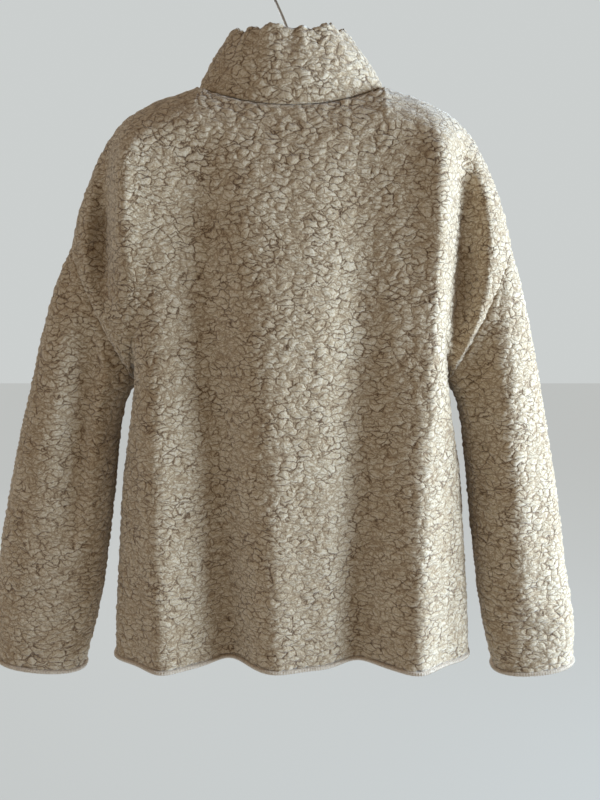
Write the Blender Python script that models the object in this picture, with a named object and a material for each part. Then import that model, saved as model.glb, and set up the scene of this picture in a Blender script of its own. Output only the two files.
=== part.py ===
"""A teddy fleece jacket with a stand collar, hanging on a plain hanger, in metres with +Z up.

The origin is the inner top of the hanger's hook. The jacket's front faces -Y and its back +Y,
so the wearer's left is at +X. Each panel is one wall of pile cloth, worked out from the
garment's sizes: columns hang from the neck and shoulder line down to the hem, and rings run
along each sleeve from the armhole to the cuff.
"""

import bisect
import math

import bmesh
import bpy
import numpy as np
from mathutils import Matrix, Vector

OBJECT_NAME = "teddy_jacket"

# Cloth
WALL = 0.0065  # pile and backing of the body and sleeves
COLLAR_WALL = 0.009  # the collar is folded double
SEAM_GAP = 0.0003  # between two panels that are sewn together
BINDING_DEPTH = 0.005
BINDING_PROUD = 0.0006  # a bound edge stands this far outside the cloth
BINDING_PROFILE = ((0.0, 0.4), (0.35, 1.0), (1.0, 0.2))  # share of its depth, share of that

# Body, as half widths from the centre line and heights below the hook
NECK_HALF_WIDTH = 0.110
NECK_HALF_DEPTH = 0.066
NECK_SIDE_Z = -0.131
NECK_BACK_Z = -0.162
NECK_FRONT_Z = -0.205
UNDERARM_X = 0.190
UNDERARM_Z = -0.480
HEM_Z = -0.829
ARMHOLE_HALF_DEPTH = 0.044
ARMHOLE_LEAN_TOP = 0.080  # turns the armhole seam's cut outwards at the shoulder
ARMHOLE_LEAN_UNDER = 0.037  # and upright at the underarm
NECK_SHARE = 0.40  # share of a half panel's columns that end at the neck
NECK_EVENNESS = 0.5  # 1 spaces the columns evenly round the neck, 0 evenly from side to side
NECK_TILT = 1.3  # how far the neck seam's cut leans up at the sides of the neck
SHOULDER_REACH = 0.02  # share of the shoulder line over which its slope is read
SIDE_SQUARENESS = 2.4
DEPTH_SQUARENESS = 3.4
SHOULDER_ROUND = 0.055  # drop over which the cloth rounds over from the shoulder line
SHOULDER_LINE = (  # x, z from the neck to the dropped armhole
    (NECK_HALF_WIDTH, NECK_SIDE_Z),
    (0.151, -0.1440),
    (0.175, -0.1550),
    (0.196, -0.1680),
    (0.213, -0.1850),
    (0.231, -0.2130),
    (0.245, -0.2430),
    (0.257, -0.2740),
    (0.267, -0.3120),
)
SIDE_LINE = (  # z, half width of the body below the underarm
    (UNDERARM_Z, UNDERARM_X),
    (-0.520, 0.1950),
    (-0.570, 0.2045),
    (-0.625, 0.2135),
    (-0.700, 0.2215),
    (-0.780, 0.2290),
    (HEM_Z, 0.2310),
)
PANEL_WIDTH = (  # share of the drop, half width that the inner columns spread to
    (0.00, 0.2670),
    (0.14, 0.2320),
    (0.32, 0.1960),
    (0.60, 0.2125),
    (1.00, 0.2310),
)
BACK_DEPTH = (  # z, y of the back panel's middle
    (-0.160, 0.0700),
    (-0.250, 0.0850),
    (-0.400, 0.0880),
    (-0.600, 0.0760),
    (HEM_Z, 0.0580),
)
FRONT_DEPTH = (  # z, distance of the front panels in front of the hanger
    (-0.200, 0.0660),
    (-0.300, 0.0760),
    (-0.450, 0.0800),
    (-0.620, 0.0740),
    (HEM_Z, 0.0620),
)
BLADE_EDGE = 0.198  # where the back rolls in beside the hanger's end
BLADE_ROLL = 0.017
ARMHOLE_EASE = 0.72  # share of a half panel from which it turns towards the armhole's edge
CREASE_EASE = 0.80  # and from which folds and creases fade out
FRONT_SIDE_BULGE = 0.012  # a front panel stands this far outside the side seam
FRONT_SIDE_START = 0.70  # from this share of a half panel
FOLD_GROWTH = 0.8  # power by which a fold deepens towards the hem
# Folds that hang down a panel: x and z at the top, x at the hem, half width, depth at the hem
BACK_FOLDS = (
    (0.164, -0.160, 0.162, 0.028, 0.021),
    (0.100, -0.170, 0.080, 0.029, -0.032),
    (0.024, -0.220, 0.020, 0.032, 0.012),
    (-0.072, -0.220, -0.083, 0.029, -0.026),
    (-0.156, -0.170, -0.158, 0.030, 0.022),
)
FRONT_FOLDS = (
    (0.160, -0.360, 0.172, 0.026, 0.014),
    (0.115, -0.330, 0.112, 0.024, -0.022),
    (0.055, -0.350, 0.060, 0.026, 0.012),
    (-0.050, -0.340, -0.055, 0.026, 0.010),
    (-0.105, -0.320, -0.112, 0.026, -0.024),
    (-0.165, -0.350, -0.170, 0.028, 0.016),
)

# Creases of a panel that fade at both ends: x, z at the top, x, z at the end, half width, depth
BACK_CREASES = (
    (0.216, -0.175, 0.228, -0.430, 0.014, -0.026),
    (0.186, -0.150, 0.192, -0.470, 0.020, 0.013),
    (-0.199, -0.175, -0.208, -0.480, 0.018, -0.038),
    (-0.164, -0.150, -0.174, -0.540, 0.019, 0.012),
    (0.105, -0.190, 0.104, -0.560, 0.034, -0.012),
    (-0.085, -0.190, -0.084, -0.560, 0.036, -0.009),
)
FRONT_CREASES = (
    (0.206, -0.210, 0.216, -0.400, 0.014, -0.011),
    (-0.204, -0.200, -0.214, -0.420, 0.014, -0.013),
    (0.130, -0.240, 0.170, -0.440, 0.020, 0.006),
    (-0.120, -0.230, -0.165, -0.430, 0.022, 0.007),
)

RING_ROUNDNESS = 0.9  # a sleeve's rings are this much squarer than an ellipse

# Sleeves: outer x, z and inner x, z of each ring as seen from behind, half depth, middle's y
LEFT_SLEEVE = (
    (0.2880, -0.3600, 0.2040, -0.5000, 0.047, 0.000),
    (0.3060, -0.4170, 0.2130, -0.5350, 0.050, 0.002),
    (0.3210, -0.4760, 0.2190, -0.5800, 0.051, 0.003),
    (0.3360, -0.5300, 0.2245, -0.6250, 0.050, 0.004),
    (0.3540, -0.6020, 0.2325, -0.6800, 0.048, 0.003),
    (0.3740, -0.6900, 0.2440, -0.7500, 0.044, 0.001),
    (0.3860, -0.7670, 0.2580, -0.8050, 0.040, -0.002),
    (0.3880, -0.8400, 0.2720, -0.8530, 0.036, -0.004),
)
RIGHT_SLEEVE = (
    (0.2830, -0.3680, 0.2030, -0.5000, 0.047, 0.000),
    (0.2980, -0.4300, 0.2120, -0.5350, 0.050, -0.001),
    (0.3120, -0.4920, 0.2180, -0.5800, 0.050, -0.002),
    (0.3240, -0.5500, 0.2240, -0.6250, 0.049, -0.003),
    (0.3390, -0.6250, 0.2310, -0.6850, 0.047, -0.003),
    (0.3530, -0.7100, 0.2400, -0.7500, 0.044, -0.002),
    (0.3680, -0.7900, 0.2500, -0.8060, 0.041, 0.000),
    (0.3690, -0.8400, 0.2620, -0.8530, 0.037, 0.001),
)
# Creases that run along a sleeve: x, z at the top, x, z at the end, half width, depth
LEFT_SLEEVE_CREASES = (
    (0.210, -0.400, 0.240, -0.660, 0.016, 0.010),
    (0.238, -0.400, 0.274, -0.680, 0.017, -0.017),
)
RIGHT_SLEEVE_CREASES = (
    (0.212, -0.380, 0.243, -0.800, 0.016, -0.013),
    (0.250, -0.400, 0.290, -0.780, 0.026, 0.010),
)

# Collar, as half widths and half depths at its top edge
COLLAR_TOP_HALF_WIDTH = 0.068
COLLAR_TOP_HALF_DEPTH = 0.056
COLLAR_TOP_SIDE_Z = -0.070
COLLAR_TOP_BACK_Z = -0.078
COLLAR_TOP_FRONT_Z = -0.120
COLLAR_BULGE = 0.003
COLLAR_LIFT = 0.0004  # seam gap under the collar, measured upwards where the seam slopes

# Front zip
ZIP_OPENING = 0.010  # half the space between the two front edges
TAPE_THICK = 0.0012
CHAIN_HALF_WIDTH = 0.003
CHAIN_THICK = 0.0024
SLIDER_DOWN = 0.30  # share of the collar's height above the slider
SLIDER_LENGTH = 0.011
SLIDER_HALF_WIDTH = 0.0042
SLIDER_PLATE = 0.0016
FLANGE_THICK = 0.0012
FLANGE_HEIGHT = 0.0030
PULL_LENGTH = 0.028
PULL_HALF_WIDTH = 0.0027
PULL_THICK = 0.0014
PULL_CLEAR = 0.0003
PULL_PIVOT_UP = 0.002  # from the slider's middle

# Hanger
ARM_RADIUS = 0.006
ARM_CLEAR = 0.0006  # between an arm and the cloth that rests on it
ARM_END_X = 0.197
ARM_SHARE = 0.62  # share of the shoulder line that the arms run under
ARM_REACH = 0.05  # share of that line over which its slope is read
ARM_STEPS = 9
CROWN_STEPS = 6
CROWN_Z = -0.124
WIRE_RADIUS = 0.0015
HOOK_INNER_RADIUS = 0.021
HOOK_START_ANGLE = -38.0
HOOK_END_ANGLE = 205.0
HOOK_STEPS = 30
HOOK_STEM = ((0.001, -0.090), (0.003, -0.070), (0.0085, -0.0545))  # x, z above the crown
STEM_STEPS = 16

# Fineness of the walls
ARMHOLE_STEPS = 12
LOWER_STEPS = 13
NECK_COLUMNS = 8  # of a half panel, that end at the neck
SHOULDER_SHARES = (  # where the others run, closer where the cloth rolls in beside the sleeve
    (0.46, 0.52, 0.58, 0.615, 0.65, 0.685, 0.72, 0.755, 0.79, 0.825, 0.86, 0.905, 0.95, 1.0)
)
SLEEVE_STEPS = 15
COLLAR_STEPS = 5


def smooth_line(points, fractions):
    """Places on a Catmull-Rom curve through the points, at fractions of its chord length."""
    p = np.array(points, float)
    lengths = np.linalg.norm(np.diff(p, axis=0), axis=1)
    marks = np.concatenate(([0.0], np.cumsum(lengths))) / lengths.sum()
    padded = np.vstack((2 * p[0] - p[1], p, 2 * p[-1] - p[-2]))
    found = []
    for fraction in np.atleast_1d(fractions):
        i = min(max(bisect.bisect_right(list(marks), fraction) - 1, 0), len(p) - 2)
        t = (fraction - marks[i]) / (marks[i + 1] - marks[i])
        a, b, c, d = padded[i : i + 4]
        curve = 2 * b + (c - a) * t + (2 * a - 5 * b + 4 * c - d) * t**2
        found.append(0.5 * (curve + (3 * b - a - 3 * c + d) * t**3))
    return np.array(found)


def read_table(table, z):
    """The second column of a table at height z, where heights fall down the table."""
    heights, values = zip(*table)
    return np.interp(-z, [-h for h in heights], values)


def smooth_height(table, share):
    """The second column of a short table on one smooth curve, read at a share of its first."""
    shares, values = zip(*table)
    at = bisect.bisect_right(shares, share) - 1
    i = min(max(at, 0), len(table) - 2)
    slopes = np.gradient(values, shares)
    step = shares[i + 1] - shares[i]
    t = (share - shares[i]) / step
    start = values[i] * (2 * t**3 - 3 * t**2 + 1) + slopes[i] * step * (t**3 - 2 * t**2 + t)
    return start + values[i + 1] * (3 * t**2 - 2 * t**3) + slopes[i + 1] * step * (t**3 - t**2)


def smoothstep(t):
    t = np.clip(t, 0.0, 1.0)
    return t * t * (3 - 2 * t)


def unit(v):
    return v / np.linalg.norm(v, axis=-1, keepdims=True)


ARMHOLE_TOP = np.array([SHOULDER_LINE[-1][0], 0.0, SHOULDER_LINE[-1][1]])
UNDERARM = np.array([UNDERARM_X, 0.0, UNDERARM_Z])
ARMHOLE_UP = unit(ARMHOLE_TOP - UNDERARM)
ARMHOLE_OUT = np.array([-ARMHOLE_UP[2], 0.0, ARMHOLE_UP[0]]) * -1.0
ARMHOLE_DROP = (UNDERARM_Z - ARMHOLE_TOP[2]) / (HEM_Z - ARMHOLE_TOP[2])
ROW_SHARES = np.concatenate(
    (
        ARMHOLE_DROP * (1 - np.cos(np.linspace(0, math.pi, ARMHOLE_STEPS + 1))) / 2,
        np.linspace(ARMHOLE_DROP, 1.0, LOWER_STEPS + 1)[1:],
    )
)


def neck_turn(s):
    """The angle round the neck at share s of a half panel, from its middle to its side."""
    share = s / NECK_SHARE
    even = math.sin(math.radians(90) * share)
    return math.asin(min(NECK_EVENNESS * even + (1 - NECK_EVENNESS) * share, 1.0))


def top_edge(s, side):
    """A point of the neck and shoulder line at share s of a half panel; side is 1 for the back."""
    if s >= NECK_SHARE:
        x, z = smooth_line(SHOULDER_LINE, (s - NECK_SHARE) / (1 - NECK_SHARE))[0]
        return np.array([x, 0.0, z])
    turn = neck_turn(s)
    middle_z = NECK_BACK_Z if side > 0 else NECK_FRONT_Z
    z = NECK_SIDE_Z + (middle_z - NECK_SIDE_Z) * math.cos(turn) ** 2
    return np.array([NECK_HALF_WIDTH * math.sin(turn), side * NECK_HALF_DEPTH * math.cos(turn), z])


def edge_width(share):
    """Half width of the body's edge at a share of the drop: the armhole, then the side seam."""
    if share <= ARMHOLE_DROP:
        return ARMHOLE_TOP[0] + (UNDERARM_X - ARMHOLE_TOP[0]) * share / ARMHOLE_DROP
    z = ARMHOLE_TOP[2] + (HEM_Z - ARMHOLE_TOP[2]) * share
    return float(read_table(SIDE_LINE, z))


def edge_depth(share):
    """Half depth of the body's edge: an ellipse round the armhole, nothing at the side seam."""
    u = min(share / ARMHOLE_DROP, 1.0)
    return 2 * ARMHOLE_HALF_DEPTH * math.sqrt(max(u * (1 - u), 0.0))


def side_bulge(z):
    """Share of the front's side bulge at a height: none at the underarm, and less at the hem."""
    fallen = (UNDERARM_Z - z) / (UNDERARM_Z - HEM_Z)
    return math.sin(math.pi * min(max(fallen, 0.0), 1.0) ** 0.7)


def fold_depth(folds, x, z):
    """How far the folds push the cloth outwards at a place of a panel."""
    total = 0.0
    for top_x, top_z, hem_x, half_width, depth in folds:
        fall = (z - top_z) / (HEM_Z - top_z)
        if fall <= 0:
            continue
        across = (x - top_x - (hem_x - top_x) * fall) / half_width
        total += depth * float(smoothstep(fall)) ** FOLD_GROWTH * math.exp(-across * across)
    return total


def crease_depth(creases, x, z):
    """How far the creases of a panel or sleeve push the cloth outwards at a place."""
    total = 0.0
    for top_x, top_z, end_x, end_z, half_width, depth in creases:
        along = (z - top_z) / (end_z - top_z)
        if not 0 < along < 1:
            continue
        across = (x - top_x - (end_x - top_x) * along) / half_width
        total += depth * math.sin(math.pi * along) ** 0.5 * math.exp(-across * across)
    return total


def panel_point(s, share, side, hand):
    """A point of a body panel's outer face: s runs from the middle to the edge."""
    top = top_edge(s, side)
    z = top[2] + (HEM_Z - top[2]) * share
    width = float(smooth_height(PANEL_WIDTH, share))
    turn = math.radians(90) * s
    reach = math.sin(turn) ** (2 / SIDE_SQUARENESS)
    bulge = math.cos(turn) ** (2 / DEPTH_SQUARENESS) if s < 1 else 0.0
    lowered = float(smoothstep(share / ARMHOLE_DROP))
    x = width * ((1 - lowered) * top[0] / ARMHOLE_TOP[0] + lowered * reach)
    x += (edge_width(share) - width) * s**3
    middle = float(read_table(BACK_DEPTH if side > 0 else FRONT_DEPTH, z))
    edge = edge_depth(share)
    near_edge = float(smoothstep((s - ARMHOLE_EASE) / (1 - ARMHOLE_EASE)))
    blade = 0.5 - 0.5 * math.tanh((x - BLADE_EDGE) / BLADE_ROLL)
    hung = ARMHOLE_HALF_DEPTH + (middle - ARMHOLE_HALF_DEPTH) * blade
    drop = min((top[2] - z) / SHOULDER_ROUND, 1.0)
    rounded = math.sqrt(1 - (1 - drop) ** 2)
    start = abs(top[1])
    upper = start + (hung - start) * rounded
    upper = upper + (edge - upper) * near_edge
    eased = ARMHOLE_HALF_DEPTH * (1 - lowered)
    lower = eased + (middle - eased) * bulge + (edge - eased) * near_edge
    depth = upper + (lower - upper) * lowered
    folds = BACK_FOLDS if side > 0 else FRONT_FOLDS
    creases = BACK_CREASES if side > 0 else FRONT_CREASES
    pushed = fold_depth(folds, hand * x, z) + crease_depth(creases, hand * x, z)
    depth += pushed * drop * (1 - float(smoothstep((s - CREASE_EASE) / (1 - CREASE_EASE))))
    if side < 0:
        x += ZIP_OPENING * max(0.0, 1 - s / NECK_SHARE) ** 1.5
        beside = max(0.0, (s - FRONT_SIDE_START) / (1 - FRONT_SIDE_START))
        x += FRONT_SIDE_BULGE * math.sin(math.pi * beside) * side_bulge(z)
    return np.array([hand * x, side * depth, z])


def wall_directions(points, closed):
    """Outward directions of a grid of points, from the run of its rows and columns."""
    along = np.gradient(points, axis=0)
    if closed:
        across = np.roll(points, -1, axis=1) - np.roll(points, 1, axis=1)
    else:
        across = np.gradient(points, axis=1)
    return unit(np.cross(across, along))


def armhole_direction(turn, side, hand):
    """The direction that the cloth's thickness takes at the armhole seam."""
    height = np.linalg.norm(ARMHOLE_TOP - UNDERARM)
    lean = ARMHOLE_LEAN_TOP if turn < math.pi / 2 else ARMHOLE_LEAN_UNDER
    out = ARMHOLE_UP * math.cos(turn) * ARMHOLE_HALF_DEPTH * 2
    out = out + np.array([abs(math.cos(turn)) * lean, side * math.sin(turn) * height, 0.0])
    return unit(out * np.array([hand, 1.0, 1.0]))


def neck_direction(s, side, hand):
    """The direction of the cloth's thickness at the neck seam, alike for panels and collar."""
    turn = neck_turn(s)
    across = hand * math.sin(turn) * NECK_HALF_DEPTH
    forward = side * math.cos(turn) * NECK_HALF_WIDTH
    flat = unit(np.array([across, forward, 0.0]))
    return unit(flat + np.array([0.0, 0.0, NECK_TILT * math.sin(turn) ** 2]))


def shoulder_direction(s, hand):
    """Square to the shoulder line, outwards and upwards."""
    along = (s - NECK_SHARE) / (1 - NECK_SHARE)
    before = smooth_line(SHOULDER_LINE, max(along - SHOULDER_REACH, 0.0))[0]
    after = smooth_line(SHOULDER_LINE, min(along + SHOULDER_REACH, 1.0))[0]
    run = after - before
    return unit(np.array([-hand * run[1], 0.0, run[0]]))


def seam_directions(out, points, shares_across, side, hands):
    """Overrides the outward directions where a panel meets its neighbours."""
    for column, (s, hand) in enumerate(zip(shares_across, hands)):
        if s < NECK_SHARE + 1e-9:
            out[0, column] = neck_direction(s, side, hand)
        else:
            out[0, column] = shoulder_direction(s, hand)
    for column, (s, hand) in enumerate(zip(shares_across, hands)):
        if s < 1:
            continue
        for row in range(len(points)):
            if row <= ARMHOLE_STEPS:
                turn = math.pi * row / ARMHOLE_STEPS
                out[row, column] = armhole_direction(turn, side, hand)
            else:
                out[row, column] = np.array([hand, 0.0, 0.0])
    return out


def pull_back_edges(points, shares_across, side, hands):
    """Leaves half of the seam's gap along the shoulder, armhole and side seams."""
    half = SEAM_GAP / 2
    for column, (s, hand) in enumerate(zip(shares_across, hands)):
        if s >= NECK_SHARE:
            points[0, column, 1] += side * half
        if s >= 1:
            points[: ARMHOLE_STEPS + 1, column] -= ARMHOLE_OUT * np.array([hand, 1, 1]) * half
            points[ARMHOLE_STEPS:, column, 1] += side * half
    return points


def panel_grid(shares_across, side, hands):
    """The outer points and outward directions of a body panel, a row for each height."""
    rows = []
    for share in ROW_SHARES:
        rows.append([panel_point(s, share, side, h) for s, h in zip(shares_across, hands)])
    points = np.array(rows)
    column_run = np.sign(points[0, -1, 0] - points[0, 0, 0])
    out = wall_directions(points, False) * side * column_run
    out = seam_directions(out, points, shares_across, side, hands)
    return pull_back_edges(points, shares_across, side, hands), out


def collection(name):
    found = bpy.data.collections.new(name)
    bpy.context.scene.collection.children.link(found)
    return found


def material(name, colour, roughness, metallic=0.0):
    made = bpy.data.materials.new(name)
    made.use_nodes = True
    shader = made.node_tree.nodes["Principled BSDF"]
    shader.inputs["Base Color"].default_value = (*colour, 1.0)
    shader.inputs["Roughness"].default_value = roughness
    shader.inputs["Metallic"].default_value = metallic
    return made


def add_object(name, bm, group, finish):
    """Turns a bmesh into a named object with its material, shaded smooth."""
    mesh = bpy.data.meshes.new(name)
    bmesh.ops.triangulate(bm, faces=bm.faces[:], quad_method="SHORT_EDGE", ngon_method="BEAUTY")
    bmesh.ops.recalc_face_normals(bm, faces=bm.faces[:])
    if bm.calc_volume(signed=True) < 0:
        bmesh.ops.reverse_faces(bm, faces=bm.faces[:])
    bm.to_mesh(mesh)
    bm.free()
    mesh.shade_smooth()
    mesh.set_sharp_from_angle(angle=math.radians(50))
    made = bpy.data.objects.new(name, mesh)
    made.data.materials.append(finish)
    group.objects.link(made)
    return made


def add_wall(name, points, out, thickness, group, finish, closed=False):
    """A wall of cloth: a grid placed on the outer points, thickened inwards by an extrusion."""
    if closed:
        points = np.concatenate((points, points[:, :1]), axis=1)
        out = np.concatenate((out, out[:, :1]), axis=1)
    rows, columns = points.shape[:2]
    inner = points - out * thickness
    bm = bmesh.new()
    bmesh.ops.create_grid(bm, x_segments=columns - 1, y_segments=rows - 1, size=0.5)
    place = bm.verts.layers.int.new("place")
    for vert in bm.verts:
        column = round((vert.co.x + 0.5) * (columns - 1))
        row = round((vert.co.y + 0.5) * (rows - 1))
        vert[place] = row * columns + column
    for vert in bm.verts:
        vert.co = Vector(points[divmod(vert[place], columns)])
    if closed:
        bmesh.ops.remove_doubles(bm, verts=bm.verts[:], dist=1e-6)
    whole = bm.verts[:] + bm.edges[:] + bm.faces[:]
    made = bmesh.ops.extrude_face_region(bm, geom=whole, use_keep_orig=True)
    for item in made["geom"]:
        if isinstance(item, bmesh.types.BMVert):
            item.co = Vector(inner[divmod(item[place], columns)])
    bm.verts.layers.int.remove(place)
    return add_object(name, bm, group, finish)


def half_shares():
    """Shares across a half panel at which its columns hang."""
    return np.concatenate((np.linspace(0.0, NECK_SHARE, NECK_COLUMNS + 1), SHOULDER_SHARES))


def panels():
    """Columns, sides and hands of the three body panels, by node name."""
    half = half_shares()
    both = np.concatenate((half[::-1], half[1:]))
    hands = np.concatenate((-np.ones(len(half)), np.ones(len(half) - 1)))
    return {
        "back": panel_grid(both, 1.0, hands),
        "front_left": panel_grid(half, -1.0, np.ones(len(half))),
        "front_right": panel_grid(half, -1.0, -np.ones(len(half))),
    }


def add_hem(name, grid, group, finish):
    """The narrow bound edge under a panel's hem, which follows its folds."""
    edge = grid[0][-1]
    out = grid[1][-1] * np.array([1.0, 1.0, 0.0])
    out = unit(out)
    rows = []
    for share, proud in BINDING_PROFILE:
        lowered = np.array([0.0, 0.0, -SEAM_GAP - BINDING_DEPTH * share])
        rows.append(edge + out * BINDING_PROUD * proud + lowered)
    return add_wall(name, np.array(rows), np.array([out] * 3), WALL + BINDING_PROUD, group, finish)


def armhole_ring(hand):
    """The armhole's points and directions all round, from the top, behind, below and in front."""
    points = []
    out = []
    for step in range(2 * ARMHOLE_STEPS):
        side = 1.0 if step <= ARMHOLE_STEPS else -1.0
        row = step if side > 0 else 2 * ARMHOLE_STEPS - step
        share = ROW_SHARES[row]
        point = np.array([edge_width(share), side * edge_depth(share), 0.0])
        point[2] = ARMHOLE_TOP[2] + (HEM_Z - ARMHOLE_TOP[2]) * share
        points.append(point * np.array([hand, 1.0, 1.0]))
        out.append(armhole_direction(math.pi * row / ARMHOLE_STEPS, side, hand))
    return np.array(points), np.array(out)


def sleeve_grid(rings, creases, hand):
    """The outer points and outward directions of a sleeve, a row for each ring."""
    first, first_out = armhole_ring(hand)
    start = (*ARMHOLE_TOP[[0, 2]], UNDERARM_X, UNDERARM_Z, ARMHOLE_HALF_DEPTH, 0.0)
    table = smooth_line((start, *rings), np.linspace(0, 1, SLEEVE_STEPS + 1))
    grid = [first + ARMHOLE_OUT * np.array([hand, 1, 1]) * SEAM_GAP / 2]
    for outer_x, outer_z, inner_x, inner_z, depth, middle_y in table[1:]:
        ring = []
        for step in range(2 * ARMHOLE_STEPS):
            turn = math.pi * step / ARMHOLE_STEPS
            cosine, sine = math.cos(turn), math.sin(turn)
            reach = 0.5 + 0.5 * math.copysign(abs(cosine) ** RING_ROUNDNESS, cosine)
            x = inner_x + (outer_x - inner_x) * reach
            z = inner_z + (outer_z - inner_z) * reach
            lift = math.copysign(abs(sine) ** RING_ROUNDNESS, sine)
            lift = lift if step % ARMHOLE_STEPS else 0.0
            y = middle_y + lift * (depth + crease_depth(creases, x, z) * abs(lift))
            ring.append([hand * x, y, z])
        grid.append(np.array(ring))
    points = np.array(grid)
    out = wall_directions(points, True) * -hand
    out[0] = first_out
    return points, out


def add_cuff(name, grid, group, finish):
    """The narrow bound edge round a sleeve's end."""
    points, out = grid
    run = unit(points[-1].mean(axis=0) - points[-2].mean(axis=0))
    sideways = unit(out[-1] - (out[-1] @ run)[:, None] * run)
    rows = []
    for share, proud in BINDING_PROFILE:
        along = run * (SEAM_GAP + BINDING_DEPTH * share)
        rows.append(points[-1] + sideways * BINDING_PROUD * proud + along)
    thick = WALL + BINDING_PROUD
    return add_wall(name, np.array(rows), np.array([sideways] * 3), thick, group, finish, True)


def collar_columns():
    """Shares, sides and hands round the neck from the left front, behind, to the right front."""
    half = half_shares()[: NECK_COLUMNS + 1]
    left_front = [(s, -1.0, 1.0) for s in half[:-1]]
    left_back = [(s, 1.0, 1.0) for s in half[:0:-1]]
    right_back = [(s, 1.0, -1.0) for s in half]
    right_front = [(s, -1.0, -1.0) for s in half[-2::-1]]
    return left_front + left_back + right_back + right_front


def collar_point(s, side, hand, share):
    """A point of the collar's outer face, share 0 at the neck seam and 1 at its top edge."""
    base = panel_point(s, 0.0, side, hand)
    turn = neck_turn(s)
    middle_z = COLLAR_TOP_BACK_Z if side > 0 else COLLAR_TOP_FRONT_Z
    top_z = COLLAR_TOP_SIDE_Z + (middle_z - COLLAR_TOP_SIDE_Z) * math.cos(turn) ** 2
    top_x = COLLAR_TOP_HALF_WIDTH * math.sin(turn)
    if side < 0:
        top_x += ZIP_OPENING * (1 - s / NECK_SHARE) ** 1.5
    top = np.array([hand * top_x, side * COLLAR_TOP_HALF_DEPTH * math.cos(turn), top_z])
    radial = np.array([hand * math.sin(turn), side * math.cos(turn), 0.0])
    lift = np.array([0.0, 0.0, COLLAR_LIFT])
    return base + lift + (top - base) * share + radial * COLLAR_BULGE * math.sin(math.pi * share)


def collar_grid():
    points = []
    for share in np.linspace(0, 1, COLLAR_STEPS + 1):
        points.append([collar_point(*column, share) for column in collar_columns()])
    points = np.array(points)
    out = wall_directions(points, False)
    for column, (s, side, hand) in enumerate(collar_columns()):
        out[0, column] = neck_direction(s, side, hand)
    for column in (0, -1):
        out[:, column] = unit(out[:, column] * np.array([0.0, 1.0, 1.0]))
    return points, out


def front_line():
    """The outer face of the front's middle from the collar's top to the hem, as y and z."""
    collar = [collar_point(0.0, -1.0, 1.0, share) for share in np.linspace(1, 0, COLLAR_STEPS + 1)]
    body = [panel_point(0.0, share, -1.0, 1.0) for share in ROW_SHARES[1:]]
    return np.array(collar + body)[:, 1:]


def add_strip(name, near_x, far_x, thickness, sunk, group, finish):
    """A flat strip along the front's middle, between two distances from the centre."""
    line = front_line()
    middle = np.array([[(near_x + far_x) / 2, y, z] for y, z in line])
    run = unit(np.gradient(middle, axis=0))
    out = unit(np.cross(run, np.array([1.0, 0.0, 0.0])))
    out = out * np.sign(-out[:, 1:2])
    rows = []
    for x in (near_x, far_x):
        strip = middle - out * sunk
        strip[:, 0] = x
        rows.append(strip)
    points = np.array(rows)
    return add_wall(name, points, np.array([out, out]), thickness, group, finish)


def zip_frame():
    """The slider's place on the zip: its middle on the chain's face, and the chain's run."""
    line = front_line()
    top, base = line[0], line[COLLAR_STEPS]
    place = smooth_line(line[: COLLAR_STEPS + 1], SLIDER_DOWN)[0]
    run = unit(base - top)
    return place, run


def zip_matrix():
    """Local x across the zip, y away from the cloth, z up along the chain."""
    place, run = zip_frame()
    up = Vector((0.0, -run[0], -run[1]))
    away = Vector((0.0, -up.z, up.y))
    across = away.cross(up)
    turned = Matrix((across, away, up)).transposed().to_4x4()
    return Matrix.Translation((0.0, *place)) @ turned


def add_slider(group, finish):
    """A channel with two flanges, seated on the chain."""
    inside = SLIDER_HALF_WIDTH - FLANGE_THICK
    low = SEAM_GAP
    plate = low + SLIDER_PLATE
    high = plate + FLANGE_HEIGHT
    outline = (
        (-SLIDER_HALF_WIDTH, low),
        (SLIDER_HALF_WIDTH, low),
        (SLIDER_HALF_WIDTH, high),
        (inside, high),
        (inside, plate),
        (-inside, plate),
        (-inside, high),
        (-SLIDER_HALF_WIDTH, high),
    )
    bm = bmesh.new()
    corners = [bm.verts.new((x, y, -SLIDER_LENGTH / 2)) for x, y in outline]
    face = bm.faces.new(corners)
    made = bmesh.ops.extrude_face_region(bm, geom=[face], use_keep_orig=True)
    moved = [item for item in made["geom"] if isinstance(item, bmesh.types.BMVert)]
    bmesh.ops.translate(bm, verts=moved, vec=(0.0, 0.0, SLIDER_LENGTH))
    bmesh.ops.transform(bm, matrix=zip_matrix(), verts=bm.verts[:])
    return add_object("zip_slider", bm, group, finish)


def add_pull(group, finish):
    """The pull tab, hinged between the slider's flanges, hanging along the zip."""
    swing = PULL_THICK / 2 * math.sqrt(2)
    pivot_y = SEAM_GAP + SLIDER_PLATE + swing + PULL_CLEAR
    pivot_z = PULL_PIVOT_UP
    bm = bmesh.new()
    length = PULL_LENGTH
    size = Matrix.Diagonal((2 * PULL_HALF_WIDTH, PULL_THICK, length, 1.0))
    bmesh.ops.create_cube(bm, size=1.0, matrix=size)
    upright = []
    for edge in bm.edges:
        if abs(edge.verts[0].co.y - edge.verts[1].co.y) > PULL_THICK / 2:
            upright.append(edge)
    bmesh.ops.bevel(bm, geom=upright, offset=0.0010, segments=3, profile=0.5, affect="EDGES")
    lowered = Matrix.Translation((0.0, pivot_y, pivot_z - length / 2 + PULL_THICK / 2))
    bmesh.ops.transform(bm, matrix=zip_matrix() @ lowered, verts=bm.verts[:])
    return add_object("zip_pull", bm, group, finish)


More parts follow.
